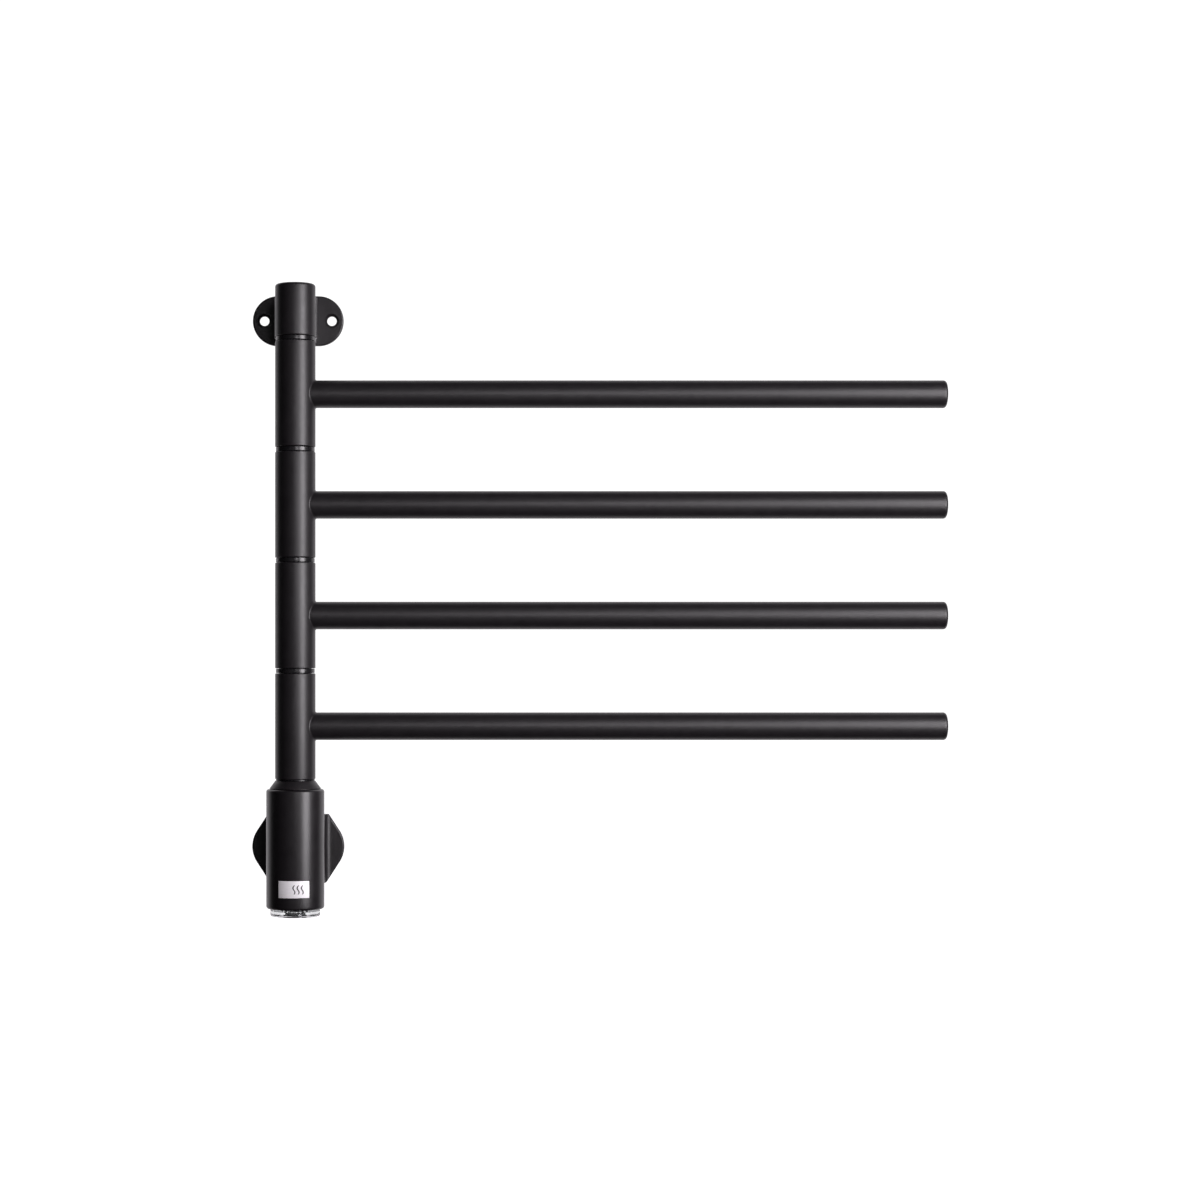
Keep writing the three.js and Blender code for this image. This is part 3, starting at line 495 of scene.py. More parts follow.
class Finish:
    """A procedural material: a shader with noise in its colour, its roughness and its surface."""

    def __init__(self, name, metallic=0.0):
        self.material = bpy.data.materials.new(name)
        self.material.use_nodes = True
        self.tree = self.material.node_tree
        self.shader = self.tree.nodes["Principled BSDF"]
        self.shader.inputs["Metallic"].default_value = metallic
        self.place = self.tree.nodes.new("ShaderNodeTexCoord")
        self.last_bump = None

    def set(self, **values):
        for name, value in values.items():
            self.shader.inputs[name.replace("_", " ")].default_value = value
        return self

    def noise(self, size, detail=2.0, stretch=(1, 1, 1)):
        """Noise with features about size metres across, times the stretch along each axis."""
        mapping = self.tree.nodes.new("ShaderNodeMapping")
        mapping.inputs["Scale"].default_value = [1 / (size * s) for s in stretch]
        texture = self.tree.nodes.new("ShaderNodeTexNoise")
        texture.inputs["Scale"].default_value = 1
        texture.inputs["Detail"].default_value = detail
        self.tree.links.new(self.place.outputs["Object"], mapping.inputs["Vector"])
        self.tree.links.new(mapping.outputs["Vector"], texture.inputs["Vector"])
        return texture.outputs["Fac"]

    def colour(self, dark, light, size, **noise):
        ramp = self.tree.nodes.new("ShaderNodeValToRGB")
        for element, position, colour in zip(ramp.color_ramp.elements, NOISE_SPAN, (dark, light)):
            element.position = position
            element.color = (*colour, 1)
        self.tree.links.new(self.noise(size, **noise), ramp.inputs["Fac"])
        self.tree.links.new(ramp.outputs["Color"], self.shader.inputs["Base Color"])
        return self

    def roughness(self, low, high, size, **noise):
        spread = self.tree.nodes.new("ShaderNodeMapRange")
        spread.inputs["From Min"].default_value = NOISE_SPAN[0]
        spread.inputs["From Max"].default_value = NOISE_SPAN[1]
        spread.inputs["To Min"].default_value = low
        spread.inputs["To Max"].default_value = high
        self.tree.links.new(self.noise(size, **noise), spread.inputs["Value"])
        self.tree.links.new(spread.outputs["Result"], self.shader.inputs["Roughness"])
        return self

    def bump(self, height, size, **noise):
        bump = self.tree.nodes.new("ShaderNodeBump")
        bump.inputs["Strength"].default_value = 1
        bump.inputs["Distance"].default_value = height
        self.tree.links.new(self.noise(size, **noise), bump.inputs["Height"])
        if self.last_bump:
            self.tree.links.new(self.last_bump, bump.inputs["Normal"])
        self.last_bump = bump.outputs["Normal"]
        self.tree.links.new(self.last_bump, self.shader.inputs["Normal"])
        return self


def powder_coat(name, low, high):
    """Satin black powder coat: a fine grain over a faint orange peel."""
    finish = Finish(name)
    finish.colour((0.0080, 0.0068, 0.0080), (0.0112, 0.0098, 0.0112), 9 * MM, detail=3)
    finish.roughness(low, high, 3 * MM, detail=3)
    finish.bump(0.012 * MM, 2.2 * MM, detail=1)
    finish.bump(0.004 * MM, 0.35 * MM, detail=2)
    return finish.material


def bearing_plastic():
    """The moulded black rings between the hubs, a little glossier than the coat."""
    finish = Finish("bearing_black_plastic")
    finish.colour((0.006, 0.006, 0.007), (0.010, 0.009, 0.010), 4 * MM)
    finish.roughness(0.22, 0.30, 1.5 * MM, detail=3)
    finish.bump(0.002 * MM, 0.4 * MM)
    return finish.material


def brushed_badge():
    """Fine-brushed light metal, its strokes along the badge."""
    finish = Finish("brushed_badge_steel", metallic=0.1)
    dark, light = (0.82, 0.805, 0.82), (0.92, 0.905, 0.92)
    finish.colour(dark, light, 0.25 * MM, stretch=(24, 24, 1), detail=3)
    finish.roughness(0.34, 0.52, 0.2 * MM, stretch=(30, 30, 1), detail=3)
    finish.bump(0.003 * MM, 0.18 * MM, stretch=(40, 40, 1))
    return finish.material


def badge_enamel():
    finish = Finish("badge_dark_enamel")
    finish.colour((0.030, 0.028, 0.031), (0.055, 0.052, 0.056), 0.8 * MM)
    finish.roughness(0.30, 0.42, 0.6 * MM)
    finish.bump(0.002 * MM, 0.3 * MM)
    return finish.material


def clear_plastic():
    """Clear polished acrylic with faint flow marks."""
    finish = Finish("clear_acrylic").set(Transmission_Weight=1.0, IOR=1.49)
    finish.colour((0.70, 0.71, 0.72), (0.80, 0.81, 0.82), 5 * MM)
    finish.roughness(0.01, 0.05, 2 * MM)
    finish.bump(0.01 * MM, 3 * MM)
    return finish.material


def tube_steel():
    finish = Finish("drawn_tube_steel", metallic=1.0)
    finish.colour((0.48, 0.48, 0.50), (0.62, 0.62, 0.64), 1.2 * MM, stretch=(1, 1, 20), detail=4)
    finish.roughness(0.26, 0.42, 0.8 * MM, stretch=(1, 1, 20))
    finish.bump(0.004 * MM, 0.5 * MM, stretch=(1, 1, 30))
    return finish.material


def dark_steel():
    """Black-oxide steel with lighter worn flecks."""
    finish = Finish("black_oxide_steel", metallic=0.9)
    finish.colour((0.045, 0.045, 0.050), (0.13, 0.13, 0.14), 1.1 * MM, detail=5)
    finish.roughness(0.34, 0.52, 0.8 * MM, detail=4)
    finish.bump(0.004 * MM, 0.4 * MM, detail=3)
    return finish.material


def spring_steel():
    finish = Finish("bright_spring_steel", metallic=1.0)
    finish.colour((0.52, 0.52, 0.54), (0.70, 0.70, 0.72), 0.8 * MM, detail=3)
    finish.roughness(0.18, 0.32, 0.5 * MM)
    finish.bump(0.002 * MM, 0.2 * MM)
    return finish.material


def cast_alloy():
    finish = Finish("cast_zinc_alloy", metallic=0.9)
    finish.colour((0.30, 0.30, 0.31), (0.42, 0.42, 0.43), 2.5 * MM, detail=4)
    finish.roughness(0.45, 0.62, 1.0 * MM, detail=4)
    finish.bump(0.02 * MM, 0.7 * MM, detail=3)
    return finish.material


def moulded_plastic(name, dark, light):
    """Plastic with the fine spark-eroded grain of its mould."""
    finish = Finish(name)
    finish.colour(dark, light, 3 * MM, detail=3)
    finish.roughness(0.42, 0.58, 0.8 * MM, detail=3)
    finish.bump(0.006 * MM, 0.3 * MM, detail=2)
    return finish.material


def circuit_board():
    finish = Finish("green_circuit_board")
    finish.colour((0.008, 0.075, 0.030), (0.020, 0.130, 0.055), 1.2 * MM, detail=4)
    finish.roughness(0.25, 0.45, 0.9 * MM, detail=3)
    finish.bump(0.015 * MM, 0.6 * MM, stretch=(4, 1, 4), detail=1)
    return finish.material


def lamp_red():
    finish = Finish("red_lamp_lens").set(Transmission_Weight=0.7, IOR=1.5)
    finish.colour((0.55, 0.02, 0.015), (0.75, 0.05, 0.03), 1.5 * MM)
    finish.roughness(0.08, 0.16, 0.8 * MM)
    finish.bump(0.002 * MM, 0.5 * MM)
    return finish.material


def heater_foil():
    finish = Finish("heater_foil", metallic=0.85)
    finish.colour((0.42, 0.41, 0.38), (0.60, 0.58, 0.54), 3 * MM, detail=5)
    finish.roughness(0.28, 0.50, 1.6 * MM, detail=4)
    finish.bump(0.06 * MM, 2.2 * MM, detail=4)
    return finish.material


def cable_sheath(name, dark, light):
    finish = Finish(name)
    finish.colour(dark, light, 4 * MM, detail=3)
    finish.roughness(0.45, 0.62, 1 * MM)
    finish.bump(0.01 * MM, 0.5 * MM)
    return finish.material


BLACK_DARK, BLACK_LIGHT = (0.008, 0.008, 0.009), (0.016, 0.016, 0.017)
WHITE_DARK, WHITE_LIGHT = (0.60, 0.60, 0.57), (0.72, 0.72, 0.69)
RED_DARK, RED_LIGHT = (0.22, 0.020, 0.014), (0.32, 0.035, 0.024)
GREY_DARK, GREY_LIGHT = (0.20, 0.20, 0.21), (0.27, 0.27, 0.28)

COAT = powder_coat("satin_black_powder_coat", 0.39, 0.45)
HOUSING_COAT = powder_coat("smooth_black_powder_coat", 0.32, 0.37)
BEARING = bearing_plastic()
BADGE_METAL = brushed_badge()
ENAMEL = badge_enamel()
CLEAR = clear_plastic()
TUBE_STEEL = tube_steel()
DARK_STEEL = dark_steel()
SPRING_STEEL = spring_steel()
ALLOY = cast_alloy()
BLACK_PLASTIC = moulded_plastic("black_moulded_plastic", BLACK_DARK, BLACK_LIGHT)
WHITE_PLASTIC = moulded_plastic("white_moulded_plastic", WHITE_DARK, WHITE_LIGHT)
BOARD = circuit_board()
LAMP = lamp_red()
FOIL = heater_foil()
RED_SHEATH = cable_sheath("red_silicone_sheath", RED_DARK, RED_LIGHT)
GREY_SHEATH = cable_sheath("grey_cable_sheath", GREY_DARK, GREY_LIGHT)


def finished(body, look, slot, carrier, *nodes):
    """Gives a piece its material and body, and hides the nodes that it stands for."""
    body.data.materials.clear()
    body.data.materials.append(look)
    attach(body, carrier)
    if nodes:
        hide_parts(*nodes)
    return body


# ---------------------------------------------------------------- camera, light and floor

def add_camera():
    """A camera two metres in front of the rack, level and square to the wall."""
    data = bpy.data.cameras.new("camera")
    data.sensor_width = CAMERA_SENSOR
    data.lens = CAMERA_LENS
    data.shift_x, data.shift_y = CAMERA_SHIFT
    camera = bpy.data.objects.new("camera", data)
    camera.location = (CAMERA_X, POST_Y - CAMERA_DISTANCE, CAMERA_Z)
    camera.rotation_euler = (math.pi / 2, 0, 0)
    bpy.context.scene.collection.objects.link(camera)
    bpy.context.scene.camera = camera


def add_softbox(name, azimuth, elevation, distance, width, height, radiance):
    """A softbox aimed at the post, at angles in degrees from straight in front of it."""
    side, rise = math.radians(azimuth), math.radians(elevation)
    level = Vector((math.sin(side), -math.cos(side), 0))
    away = level * math.cos(rise) + Vector((0, 0, math.sin(rise)))
    data = bpy.data.lights.new(name, "AREA")
    data.shape = "RECTANGLE"
    data.size, data.size_y = width, height
    data.energy = math.pi * width * height * radiance
    data.color = LIGHT_TINT
    light = bpy.data.objects.new(name, data)
    light.location = Vector((0, POST_Y, LIGHT_TARGET_Z)) + away * distance
    light.rotation_euler = away.to_track_quat("Z", "Y").to_euler()
    light.visible_camera = False
    bpy.context.scene.collection.objects.link(light)


def add_surroundings():
    """A studio bright behind the rack, dim in front of it, and white where the camera looks."""
    world = bpy.data.worlds.new("studio")
    world.use_nodes = True
    tree = world.node_tree
    tree.nodes.clear()
    place = tree.nodes.new("ShaderNodeTexCoord")
    axes = tree.nodes.new("ShaderNodeSeparateXYZ")
    spread = tree.nodes.new("ShaderNodeMapRange")
    spread.interpolation_type = "SMOOTHSTEP"
    spread.inputs["From Min"].default_value = STUDIO_EDGE[0]
    spread.inputs["From Max"].default_value = STUDIO_EDGE[1]
    spread.inputs["To Min"].default_value = STUDIO_DARK
    spread.inputs["To Max"].default_value = STUDIO_BRIGHT
    room = tree.nodes.new("ShaderNodeBackground")
    room.inputs["Color"].default_value = (*LIGHT_TINT, 1)
    white = tree.nodes.new("ShaderNodeBackground")
    white.inputs["Color"].default_value = (1, 1, 1, 1)
    white.inputs["Strength"].default_value = BACKDROP_STRENGTH
    path = tree.nodes.new("ShaderNodeLightPath")
    mix = tree.nodes.new("ShaderNodeMixShader")
    output = tree.nodes.new("ShaderNodeOutputWorld")
    tree.links.new(place.outputs["Generated"], axes.inputs["Vector"])
    tree.links.new(axes.outputs["Y"], spread.inputs["Value"])
    tree.links.new(spread.outputs["Result"], room.inputs["Strength"])
    tree.links.new(path.outputs["Is Camera Ray"], mix.inputs["Fac"])
    tree.links.new(room.outputs["Background"], mix.inputs[1])
    tree.links.new(white.outputs["Background"], mix.inputs[2])
    tree.links.new(mix.outputs["Shader"], output.inputs["Surface"])
    bpy.context.scene.world = world


def add_floor():
    corners = [(x * FLOOR_REACH, y * FLOOR_REACH, FLOOR_Z) for x, y in CORNER_SIGNS]
    floor = piece("studio_floor", corners, [(0, 1, 2, 3)])
    finish = Finish("pale_studio_floor").set(Emission_Color=(1, 1, 1, 1), Emission_Strength=0.9)
    finish.colour((0.78, 0.78, 0.78), (0.84, 0.84, 0.84), 0.6)
    finish.roughness(0.7, 0.9, 0.3)
    floor.data.materials.append(finish.material)
    floor.visible_glossy = False
    floor.visible_diffuse = False


# ---------------------------------------------------------------- post

def make_top_sleeve():
    top, bottom = top_of("top_sleeve"), bottom_of("top_sleeve")
    recess = bottom + SLEEVE_RECESS
    profile = eased([
        (0, recess),
        (POST_BORE, recess),
        (POST_BORE, bottom, BORE_EDGE),
        (POST_RADIUS, bottom, HUB_EDGE),
        (POST_RADIUS, top, SLEEVE_EDGE),
        (0, top),
    ], closed=False)
    sleeve = on_post(turned("sleeve_cap", profile, closed=False))
    finished(sleeve, COAT, "satin_black", "mast", "top_sleeve")


def make_bearing_ring(number):
    node = f"bearing_ring_{number}"
    low, high = bottom_of(node), top_of(node)
    is_last = number > len(ARM_NUMBERS)
    flange = POST_RADIUS - FLANGE_RECESS
    spigot = POST_BORE - SPIGOT_GAP
    edge = LAST_FLANGE_EDGE if is_last else FLANGE_EDGE
    top = high - UPPER_SPIGOT
    bottom = low + (LAST_SPIGOT if is_last else LOWER_SPIGOT)
    profile = eased([
        (CORE_CLEARANCE, low, BORE_EDGE),
        (spigot, low, SPIGOT_EDGE),
        (spigot, bottom),
        (flange, bottom, edge),
        (flange, top, edge),
        (spigot, top),
        (spigot, high, SPIGOT_EDGE),
        (CORE_CLEARANCE, high, BORE_EDGE),
    ])
    ring = on_post(turned(f"groove_ring_{number}", profile))
    finished(ring, BEARING, "bearing_black", "mast", node)


def make_collar():
    top, foot = top_of("housing_collar"), top_of("control_housing") + COLLAR_LIFT
    spigot, spigot_end = HOUSING_LIP_BORE - COLLAR_GAP, bottom_of("housing_collar")
    widest = half_width("housing_collar")
    profile = eased([
        (CORE_CLEARANCE, spigot_end),
        (spigot, spigot_end),
        (spigot, foot),
        (widest, foot, COLLAR_FOOT_EDGE),
        (POST_RADIUS - SPIGOT_GAP, top, COLLAR_TOP_EDGE),
        (POST_BORE, top, BORE_EDGE),
        (POST_BORE, top - COLLAR_BEARING),
        (CORE_CLEARANCE, top - COLLAR_BEARING),
    ])
    collar = on_post(turned("cone_collar", profile))
    finished(collar, COAT, "satin_black", "mast", "housing_collar")


def make_housing():
    """The control housing, with a shallow pocket for the badge in its front."""
    top, bottom = top_of("control_housing"), bottom_of("control_housing")
    half_height = BADGE_HALF_HEIGHT + BADGE_GAP
    half_angle = BADGE_HALF_ANGLE + BADGE_GAP / HOUSING_RADIUS
    edges = [BADGE_Z - half_height, BADGE_Z + half_height]
    rows = [(HOUSING_RADIUS, z + step) for z in edges for step in (-POCKET_WALL, POCKET_WALL)]
    profile = eased([
        (HOUSING_BORE, bottom, HOUSING_BORE_EDGE),
        (HOUSING_RADIUS, bottom, HOUSING_EDGE),
        *rows,
        (HOUSING_RADIUS, top, HOUSING_EDGE),
        (HOUSING_LIP_BORE, top, HOUSING_LIP_EDGE),
        (HOUSING_LIP_BORE, top - HOUSING_LIP),
        (HOUSING_BORE, top - HOUSING_LIP),
    ])
    front = 1.5 * math.pi
    steps = (-POCKET_WALL_ANGLE, POCKET_WALL_ANGLE)
    sides = [front + side * half_angle + step for side in (-1, 1) for step in steps]
    angles = sorted(even_angles(SEGMENTS) + sides)

    def pocket(angle, z):
        inside = abs(angle - front) < half_angle and abs(z - BADGE_Z) < half_height
        return BADGE_FLOOR - HOUSING_RADIUS if inside else 0

    def relief(angle, z):
        on_inner_wall = z > top - HOUSING_LIP or z < bottom + HOUSING_EDGE
        return 0 if on_inner_wall else pocket(angle, z)

    housing = on_post(turned("housing_shell", profile, angles=angles, relief=relief))
    finished(housing, HOUSING_COAT, "satin_black", "mast", "control_housing")


def wrapped(body, radius, height):
    """Bends a body on the plane y = 0 round the post, so that its back has that radius."""
    work = bmesh.new()
    work.from_mesh(body.data)
    low = min(v.co.x for v in work.verts)
    high = max(v.co.x for v in work.verts)
    cuts = max(2, round((high - low) / BEND_STEP))
    for k in range(1, cuts):
        parts = list(work.verts) + list(work.edges) + list(work.faces)
        at = (low + (high - low) * k / cuts, 0, 0)
        bmesh.ops.bisect_plane(work, geom=parts, plane_co=at, plane_no=(1, 0, 0), dist=TINY)
    for vertex in work.verts:
        x, y, z = vertex.co
        reach, angle = radius - y, x / BADGE_FRONT
        vertex.co = (reach * math.sin(angle), POST_Y - reach * math.cos(angle), height + z)
    work.to_mesh(body.data)
    work.free()
    smooth(body)
    return body


def wave_outline(x, steps=40):
    """A thin upright wave with pointed ends, counter-clockwise."""
    right, left = [], []
    for k in range(steps + 1):
        t = k / steps
        z = WAVE_HALF_HEIGHT * (2 * t - 1)
        centre = x + WAVE_SWING * math.sin(WAVE_TURN * t)
        half = WAVE_HALF_THICKNESS * math.sqrt(max(WAVE_END, 1 - (2 * t - 1) ** 6))
        right.append(Vector((centre + half, z)))
        left.append(Vector((centre - half, z)))
    return right + left[::-1]


def make_badge():
    """A light metal plate with three rising waves, a common sign for warmth."""
    outline = rounded_rectangle(BADGE_HALF_ANGLE * BADGE_FRONT, BADGE_HALF_HEIGHT, BADGE_CORNER)
    front = BADGE_FLOOR - BADGE_FRONT
    levels = eased_levels(0, front, BADGE_BACK_EDGE, BADGE_FRONT_EDGE, steps=4)
    plate = slab("badge_plate", outline, levels)
    wrapped(plate, BADGE_FLOOR, BADGE_Z)
    finished(plate, BADGE_METAL, "badge_steel", "mast", "badge")
    for number, x in enumerate(WAVE_PLACES, start=1):
        wave = slab(f"badge_wave_{number}", wave_outline(x), WAVE_LEVELS)
        wrapped(wave, BADGE_FRONT, BADGE_Z)
        finished(wave, ENAMEL, "satin_black", "mast")


# ---------------------------------------------------------------- push button

def make_push_button():
    """The clear button, a fluted cup with a dark core that carries the plunger."""
    bottom, top = bottom_of("push_button"), top_of("push_button")
    floor, core_floor = bottom + CUP_FLOOR, bottom + CORE_FLOOR
    head = bottom_of("button_guide") - CUP_HEAD_GAP
    groove_low = top_of("button_guide")
    groove_high = groove_low + CLIP_GROOVE_HEIGHT
    profile = eased([
        *[(radius, bottom + rise) for radius, rise in CUP_DISH],
        (BUTTON_RADIUS, bottom, CUP_FOOT_EDGE),
        (BUTTON_RADIUS, head, CUP_EDGE),
        (CUP_NECK, head, CUP_NECK_EDGE),
        (CUP_NECK, groove_low),
        (CLIP_GROOVE_RADIUS, groove_low),
        (CLIP_GROOVE_RADIUS, groove_high),
        (CUP_NECK, groove_high),
        (CUP_NECK, top, CUP_EDGE),
        (CUP_CAVITY, top, CUP_EDGE),
        (CUP_CAVITY, floor + FLUTE_TOP),
        (CUP_CAVITY, floor + FLUTE_BOTTOM),
        (CUP_CAVITY - CUP_CAVITY_FOOT, floor),
        (CORE_RADIUS, floor),
        (CORE_RADIUS, core_floor),
        (0, core_floor),
    ], closed=False)

    def relief(angle, z):
        on_flutes = floor + FLUTE_BOTTOM - FLUTE_MARGIN < z < floor + FLUTE_TOP + FLUTE_MARGIN
        return FLUTE_DEPTH * math.cos(FLUTE_COUNT * angle) if on_flutes else 0

    segments = FLUTE_COUNT * 6
    cup = turned("clear_button", profile, closed=False, segments=segments, relief=relief)
    finished(on_post(cup), CLEAR, "clear_plastic", "button", "push_button")

    outside, plunger_end = CORE_RADIUS - CORE_GAP, bottom_of("push_switch") - PLUNGER_GAP
    foot_edge, shoulder_edge = CORE_EDGES
    profile = eased([
        (0, core_floor + CORE_GAP),
        (outside, core_floor + CORE_GAP, foot_edge),
        (outside, floor, shoulder_edge),
        (PLUNGER_RADIUS, floor, PLUNGER_EDGE),
        (PLUNGER_RADIUS, plunger_end, PLUNGER_EDGE),
        (0, plunger_end),
    ], closed=False)
    plug = on_post(turned("button_core", profile, closed=False, segments=SMALL_SEGMENTS))
    finished(plug, BLACK_PLASTIC, "black_plastic", "button")


def make_button_fittings():
    low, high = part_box("button_guide")
    outside = half_width("button_guide")
    corners = [(GUIDE_BORE, low.z), (outside, low.z), (outside, high.z), (GUIDE_BORE, high.z)]
    guide = turned("guide_ring", eased([(r, z, GUIDE_EDGE) for r, z in corners]))
    finished(on_post(guide), WHITE_PLASTIC, "white_plastic", "mast", "button_guide")

    low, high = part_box("status_light")
    radius = half_width("status_light")
    dome = [(radius * p.x, low.z + radius * (1 - p.y)) for p in arc(0, 0, 1, 90, 0, LAMP_STEPS)]
    profile = dome + [(radius, high.z), (0, high.z)]
    lamp = turned("status_lamp", profile, closed=False, segments=4 * LAMP_STEPS)
    placed(lamp, Matrix.Translation((middle("status_light").x, POST_Y, 0)))
    finished(lamp, LAMP, "red_lens", "mast", "status_light")


# ---------------------------------------------------------------- arms

def make_hub(number):
    node = f"hub_{number}"
    corners = [
        (POST_BORE, bottom_of(node), BORE_EDGE),
        (POST_RADIUS, bottom_of(node), HUB_EDGE),
        (POST_RADIUS, top_of(node), HUB_EDGE),
        (POST_BORE, top_of(node), BORE_EDGE),
    ]
    hub = on_post(turned(f"hub_sleeve_{number}", eased(corners)))
    finished(hub, COAT, "satin_black", f"arm_{number}", node)


def coped_ring(radius, reach):
    """Points round an arm where it meets a cylinder of that reach about the post."""
    ring = []
    for angle in even_angles(SEGMENTS):
        y, z = radius * math.cos(angle), radius * math.sin(angle)
        ring.append((math.sqrt(reach * reach - y * y), y, z))
    return ring


def straight_ring(radius, x):
    return [(x, radius * math.cos(a), radius * math.sin(a)) for a in even_angles(SEGMENTS)]


def make_arm_tube(number, at):
    root = POST_RADIUS - ARM_IN_HUB
    rings = [
        coped_ring(ARM_RADIUS, root),
        straight_ring(ARM_RADIUS, CAP_SHOULDER),
        straight_ring(ARM_BORE, CAP_SHOULDER),
        coped_ring(ARM_BORE, root),
    ]
    tube = placed(loft(f"arm_bar_{number}", rings, loop=True), at)
    finished(tube, COAT, "satin_black", f"arm_{number}", f"arm_tube_{number}")


def make_weld(number, at):
    """The smoothed weld at the arm's root: the path of a small ball rolled round the joint."""
    across, along = POST_RADIUS + WELD_RADIUS, ARM_RADIUS + WELD_RADIUS
    rings = [[] for _ in range(WELD_STEPS + 2)]
    for angle in even_angles(SEGMENTS):
        y, z = along * math.cos(angle), along * math.sin(angle)
        centre = Vector((math.sqrt(across * across - y * y), y, z))
        on_arm = Vector((centre.x, ARM_RADIUS * math.cos(angle), ARM_RADIUS * math.sin(angle)))
        on_hub = Vector((centre.x * POST_RADIUS / across, centre.y * POST_RADIUS / across, z))
        start, end = (on_arm - centre).normalized(), (on_hub - centre).normalized()
        for step in range(WELD_STEPS + 1):
            rings[step].append(centre + start.slerp(end, step / WELD_STEPS) * WELD_RADIUS)
        rings[-1].append(Vector((on_hub.x, on_arm.y, on_arm.z)) * WELD_ROOT)
    weld = placed(loft(f"arm_weld_{number}", rings, loop=True), at)
    finished(weld, COAT, "satin_black", f"arm_{number}")


def make_arm_end(number, at):
    plug, plug_end = ARM_BORE - SPIGOT_GAP, CAP_SHOULDER - PLUG_LENGTH
    profile = eased([
        (0, plug_end),
        (plug, plug_end, PLUG_EDGE),
        (plug, CAP_SHOULDER),
        (ARM_RADIUS, CAP_SHOULDER),
        (ARM_RADIUS, ARM_END, ARM_END_EDGE - EDGE_MARGIN),
        (0, ARM_END),
    ], closed=False)
    cap = turned(f"arm_end_{number}", profile, closed=False)
    placed(cap, at @ Matrix.Rotation(math.pi / 2, 4, "Y"))
    finished(cap, COAT, "satin_black", f"arm_{number}", f"arm_cap_{number}")


def make_arm(number):
    at = Matrix.Translation((0, POST_Y, middle(f"arm_tube_{number}").z))
    make_hub(number)
    make_arm_tube(number, at)
    make_weld(number, at)
    make_arm_end(number, at)


# ---------------------------------------------------------------- brackets

def stem_section(foot_half, foot, half, front, fillet, corner):
    """The section of a stem on a wall plate, with a fillet at each side of its foot."""
    side, root = foot_half + fillet, foot + STEM_ROOT
    section = [Vector((-side, root)), Vector((-side, foot))]
    section += arc(-side, foot - fillet, fillet, 90, 0, FILLET_STEPS)[1:]
    section += arc(-half + corner, front + corner, corner, 180, 270, ARC_STEPS)
    section += arc(half - corner, front + corner, corner, 270, 360, ARC_STEPS)
    section += arc(side, foot - fillet, fillet, 180, 90, FILLET_STEPS)
    section.append(Vector((side, root)))
    return section


def obround(half_x, half_z, steps=56):
    centre = half_x - half_z
    return arc(centre, 0, half_z, -90, 90, steps) + arc(-centre, 0, half_z, 90, 270, steps)


def wing_outline():
    """A rounded lozenge, cut off flat above and, further from its middle, below."""
    bottom, top = bottom_of("lower_bracket") - LOWER_Z, top_of("lower_bracket") - LOWER_Z
    centre = half_width("lower_bracket") - WING_TIP
    tip = math.degrees(math.pi / 2 - WING_SLOPE)
    tangent_x = centre + WING_TIP * math.sin(WING_SLOPE)
    tangent_z = WING_TIP * math.cos(WING_SLOPE)
    upper = tangent_x - (top - tangent_z) / math.tan(WING_SLOPE)
    lower = tangent_x - (-bottom - tangent_z) / math.tan(WING_SLOPE)
    right = arc(centre, 0, WING_TIP, -tip, tip, WING_STEPS)
    left = arc(-centre, 0, WING_TIP, 180 - tip, 180 + tip, WING_STEPS)
    corners = [(-lower, bottom, WING_CORNER), (lower, bottom, WING_CORNER)]
    corners += [tuple(p) for p in right]
    corners += [(upper, top, WING_CORNER), (-upper, top, WING_CORNER)]
    corners += [tuple(p) for p in left]
    return eased(corners)


def screw_hole(x):
    """A tool for a countersunk hole through the upper plate."""
    depth = PLATE_COUNTERSINK - PLATE_HOLE
    profile = [
        (0, -BEYOND),
        (PLATE_HOLE, -BEYOND),
        (PLATE_HOLE, PLATE_THICKNESS - depth),
        (PLATE_COUNTERSINK + MM, PLATE_THICKNESS + MM),
        (0, PLATE_THICKNESS + MM),
    ]
    return out_of_wall(turned("hole", profile, closed=False, segments=SMALL_SEGMENTS), x, 0, 0)


def post_saddle(radius, reach):
    """A tool that makes room for the post or the housing in a bracket."""
    ends = [(0, POST_Y, side * reach) for side in (-1, 1)]
    return rod("saddle", radius + SADDLE_GAP, *ends, SEGMENTS)


def make_upper_bracket():
    low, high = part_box("upper_bracket")
    outline = obround(half_width("upper_bracket"), (high.z - low.z) / 2)
    levels = eased_levels(0, -PLATE_THICKNESS, BACK_EDGE, PLATE_EDGE)
    bracket = slab("upper_wall_bracket", outline, levels)
    foot, front = (STEM_FOOT_HALF, -PLATE_THICKNESS), (STEM_HALF, low.y)
    section = stem_section(*foot, *front, STEM_FILLET, STEM_CORNER)
    combined(bracket, "UNION", column("stem", section, STEM_BOTTOM, STEM_TOP))
    tools = [post_saddle(POST_RADIUS, UPPER_SADDLE_REACH)]
    tools += [screw_hole(x) for x in (-PLATE_HOLE_X, PLATE_HOLE_X)]
    for number in (1, 2):
        z = middle(f"sleeve_bolt_{number}").z
        tools.append(rod("bolt_way", BOLT_WAY, (0, UPPER_BOLT_FRONT, z), (0, BEYOND, z)))
        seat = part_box(f"sleeve_bolt_{number}")[1].y - HEAD_SEAT
        tools.append(rod("head_way", HEAD_WAY, (0, seat, z), (0, BEYOND, z)))
    combined(bracket, "DIFFERENCE", *tools)
    with_edges(bracket, STEM_EDGE)
    finished(bracket, HOUSING_COAT, "satin_black", "mast", "upper_bracket")


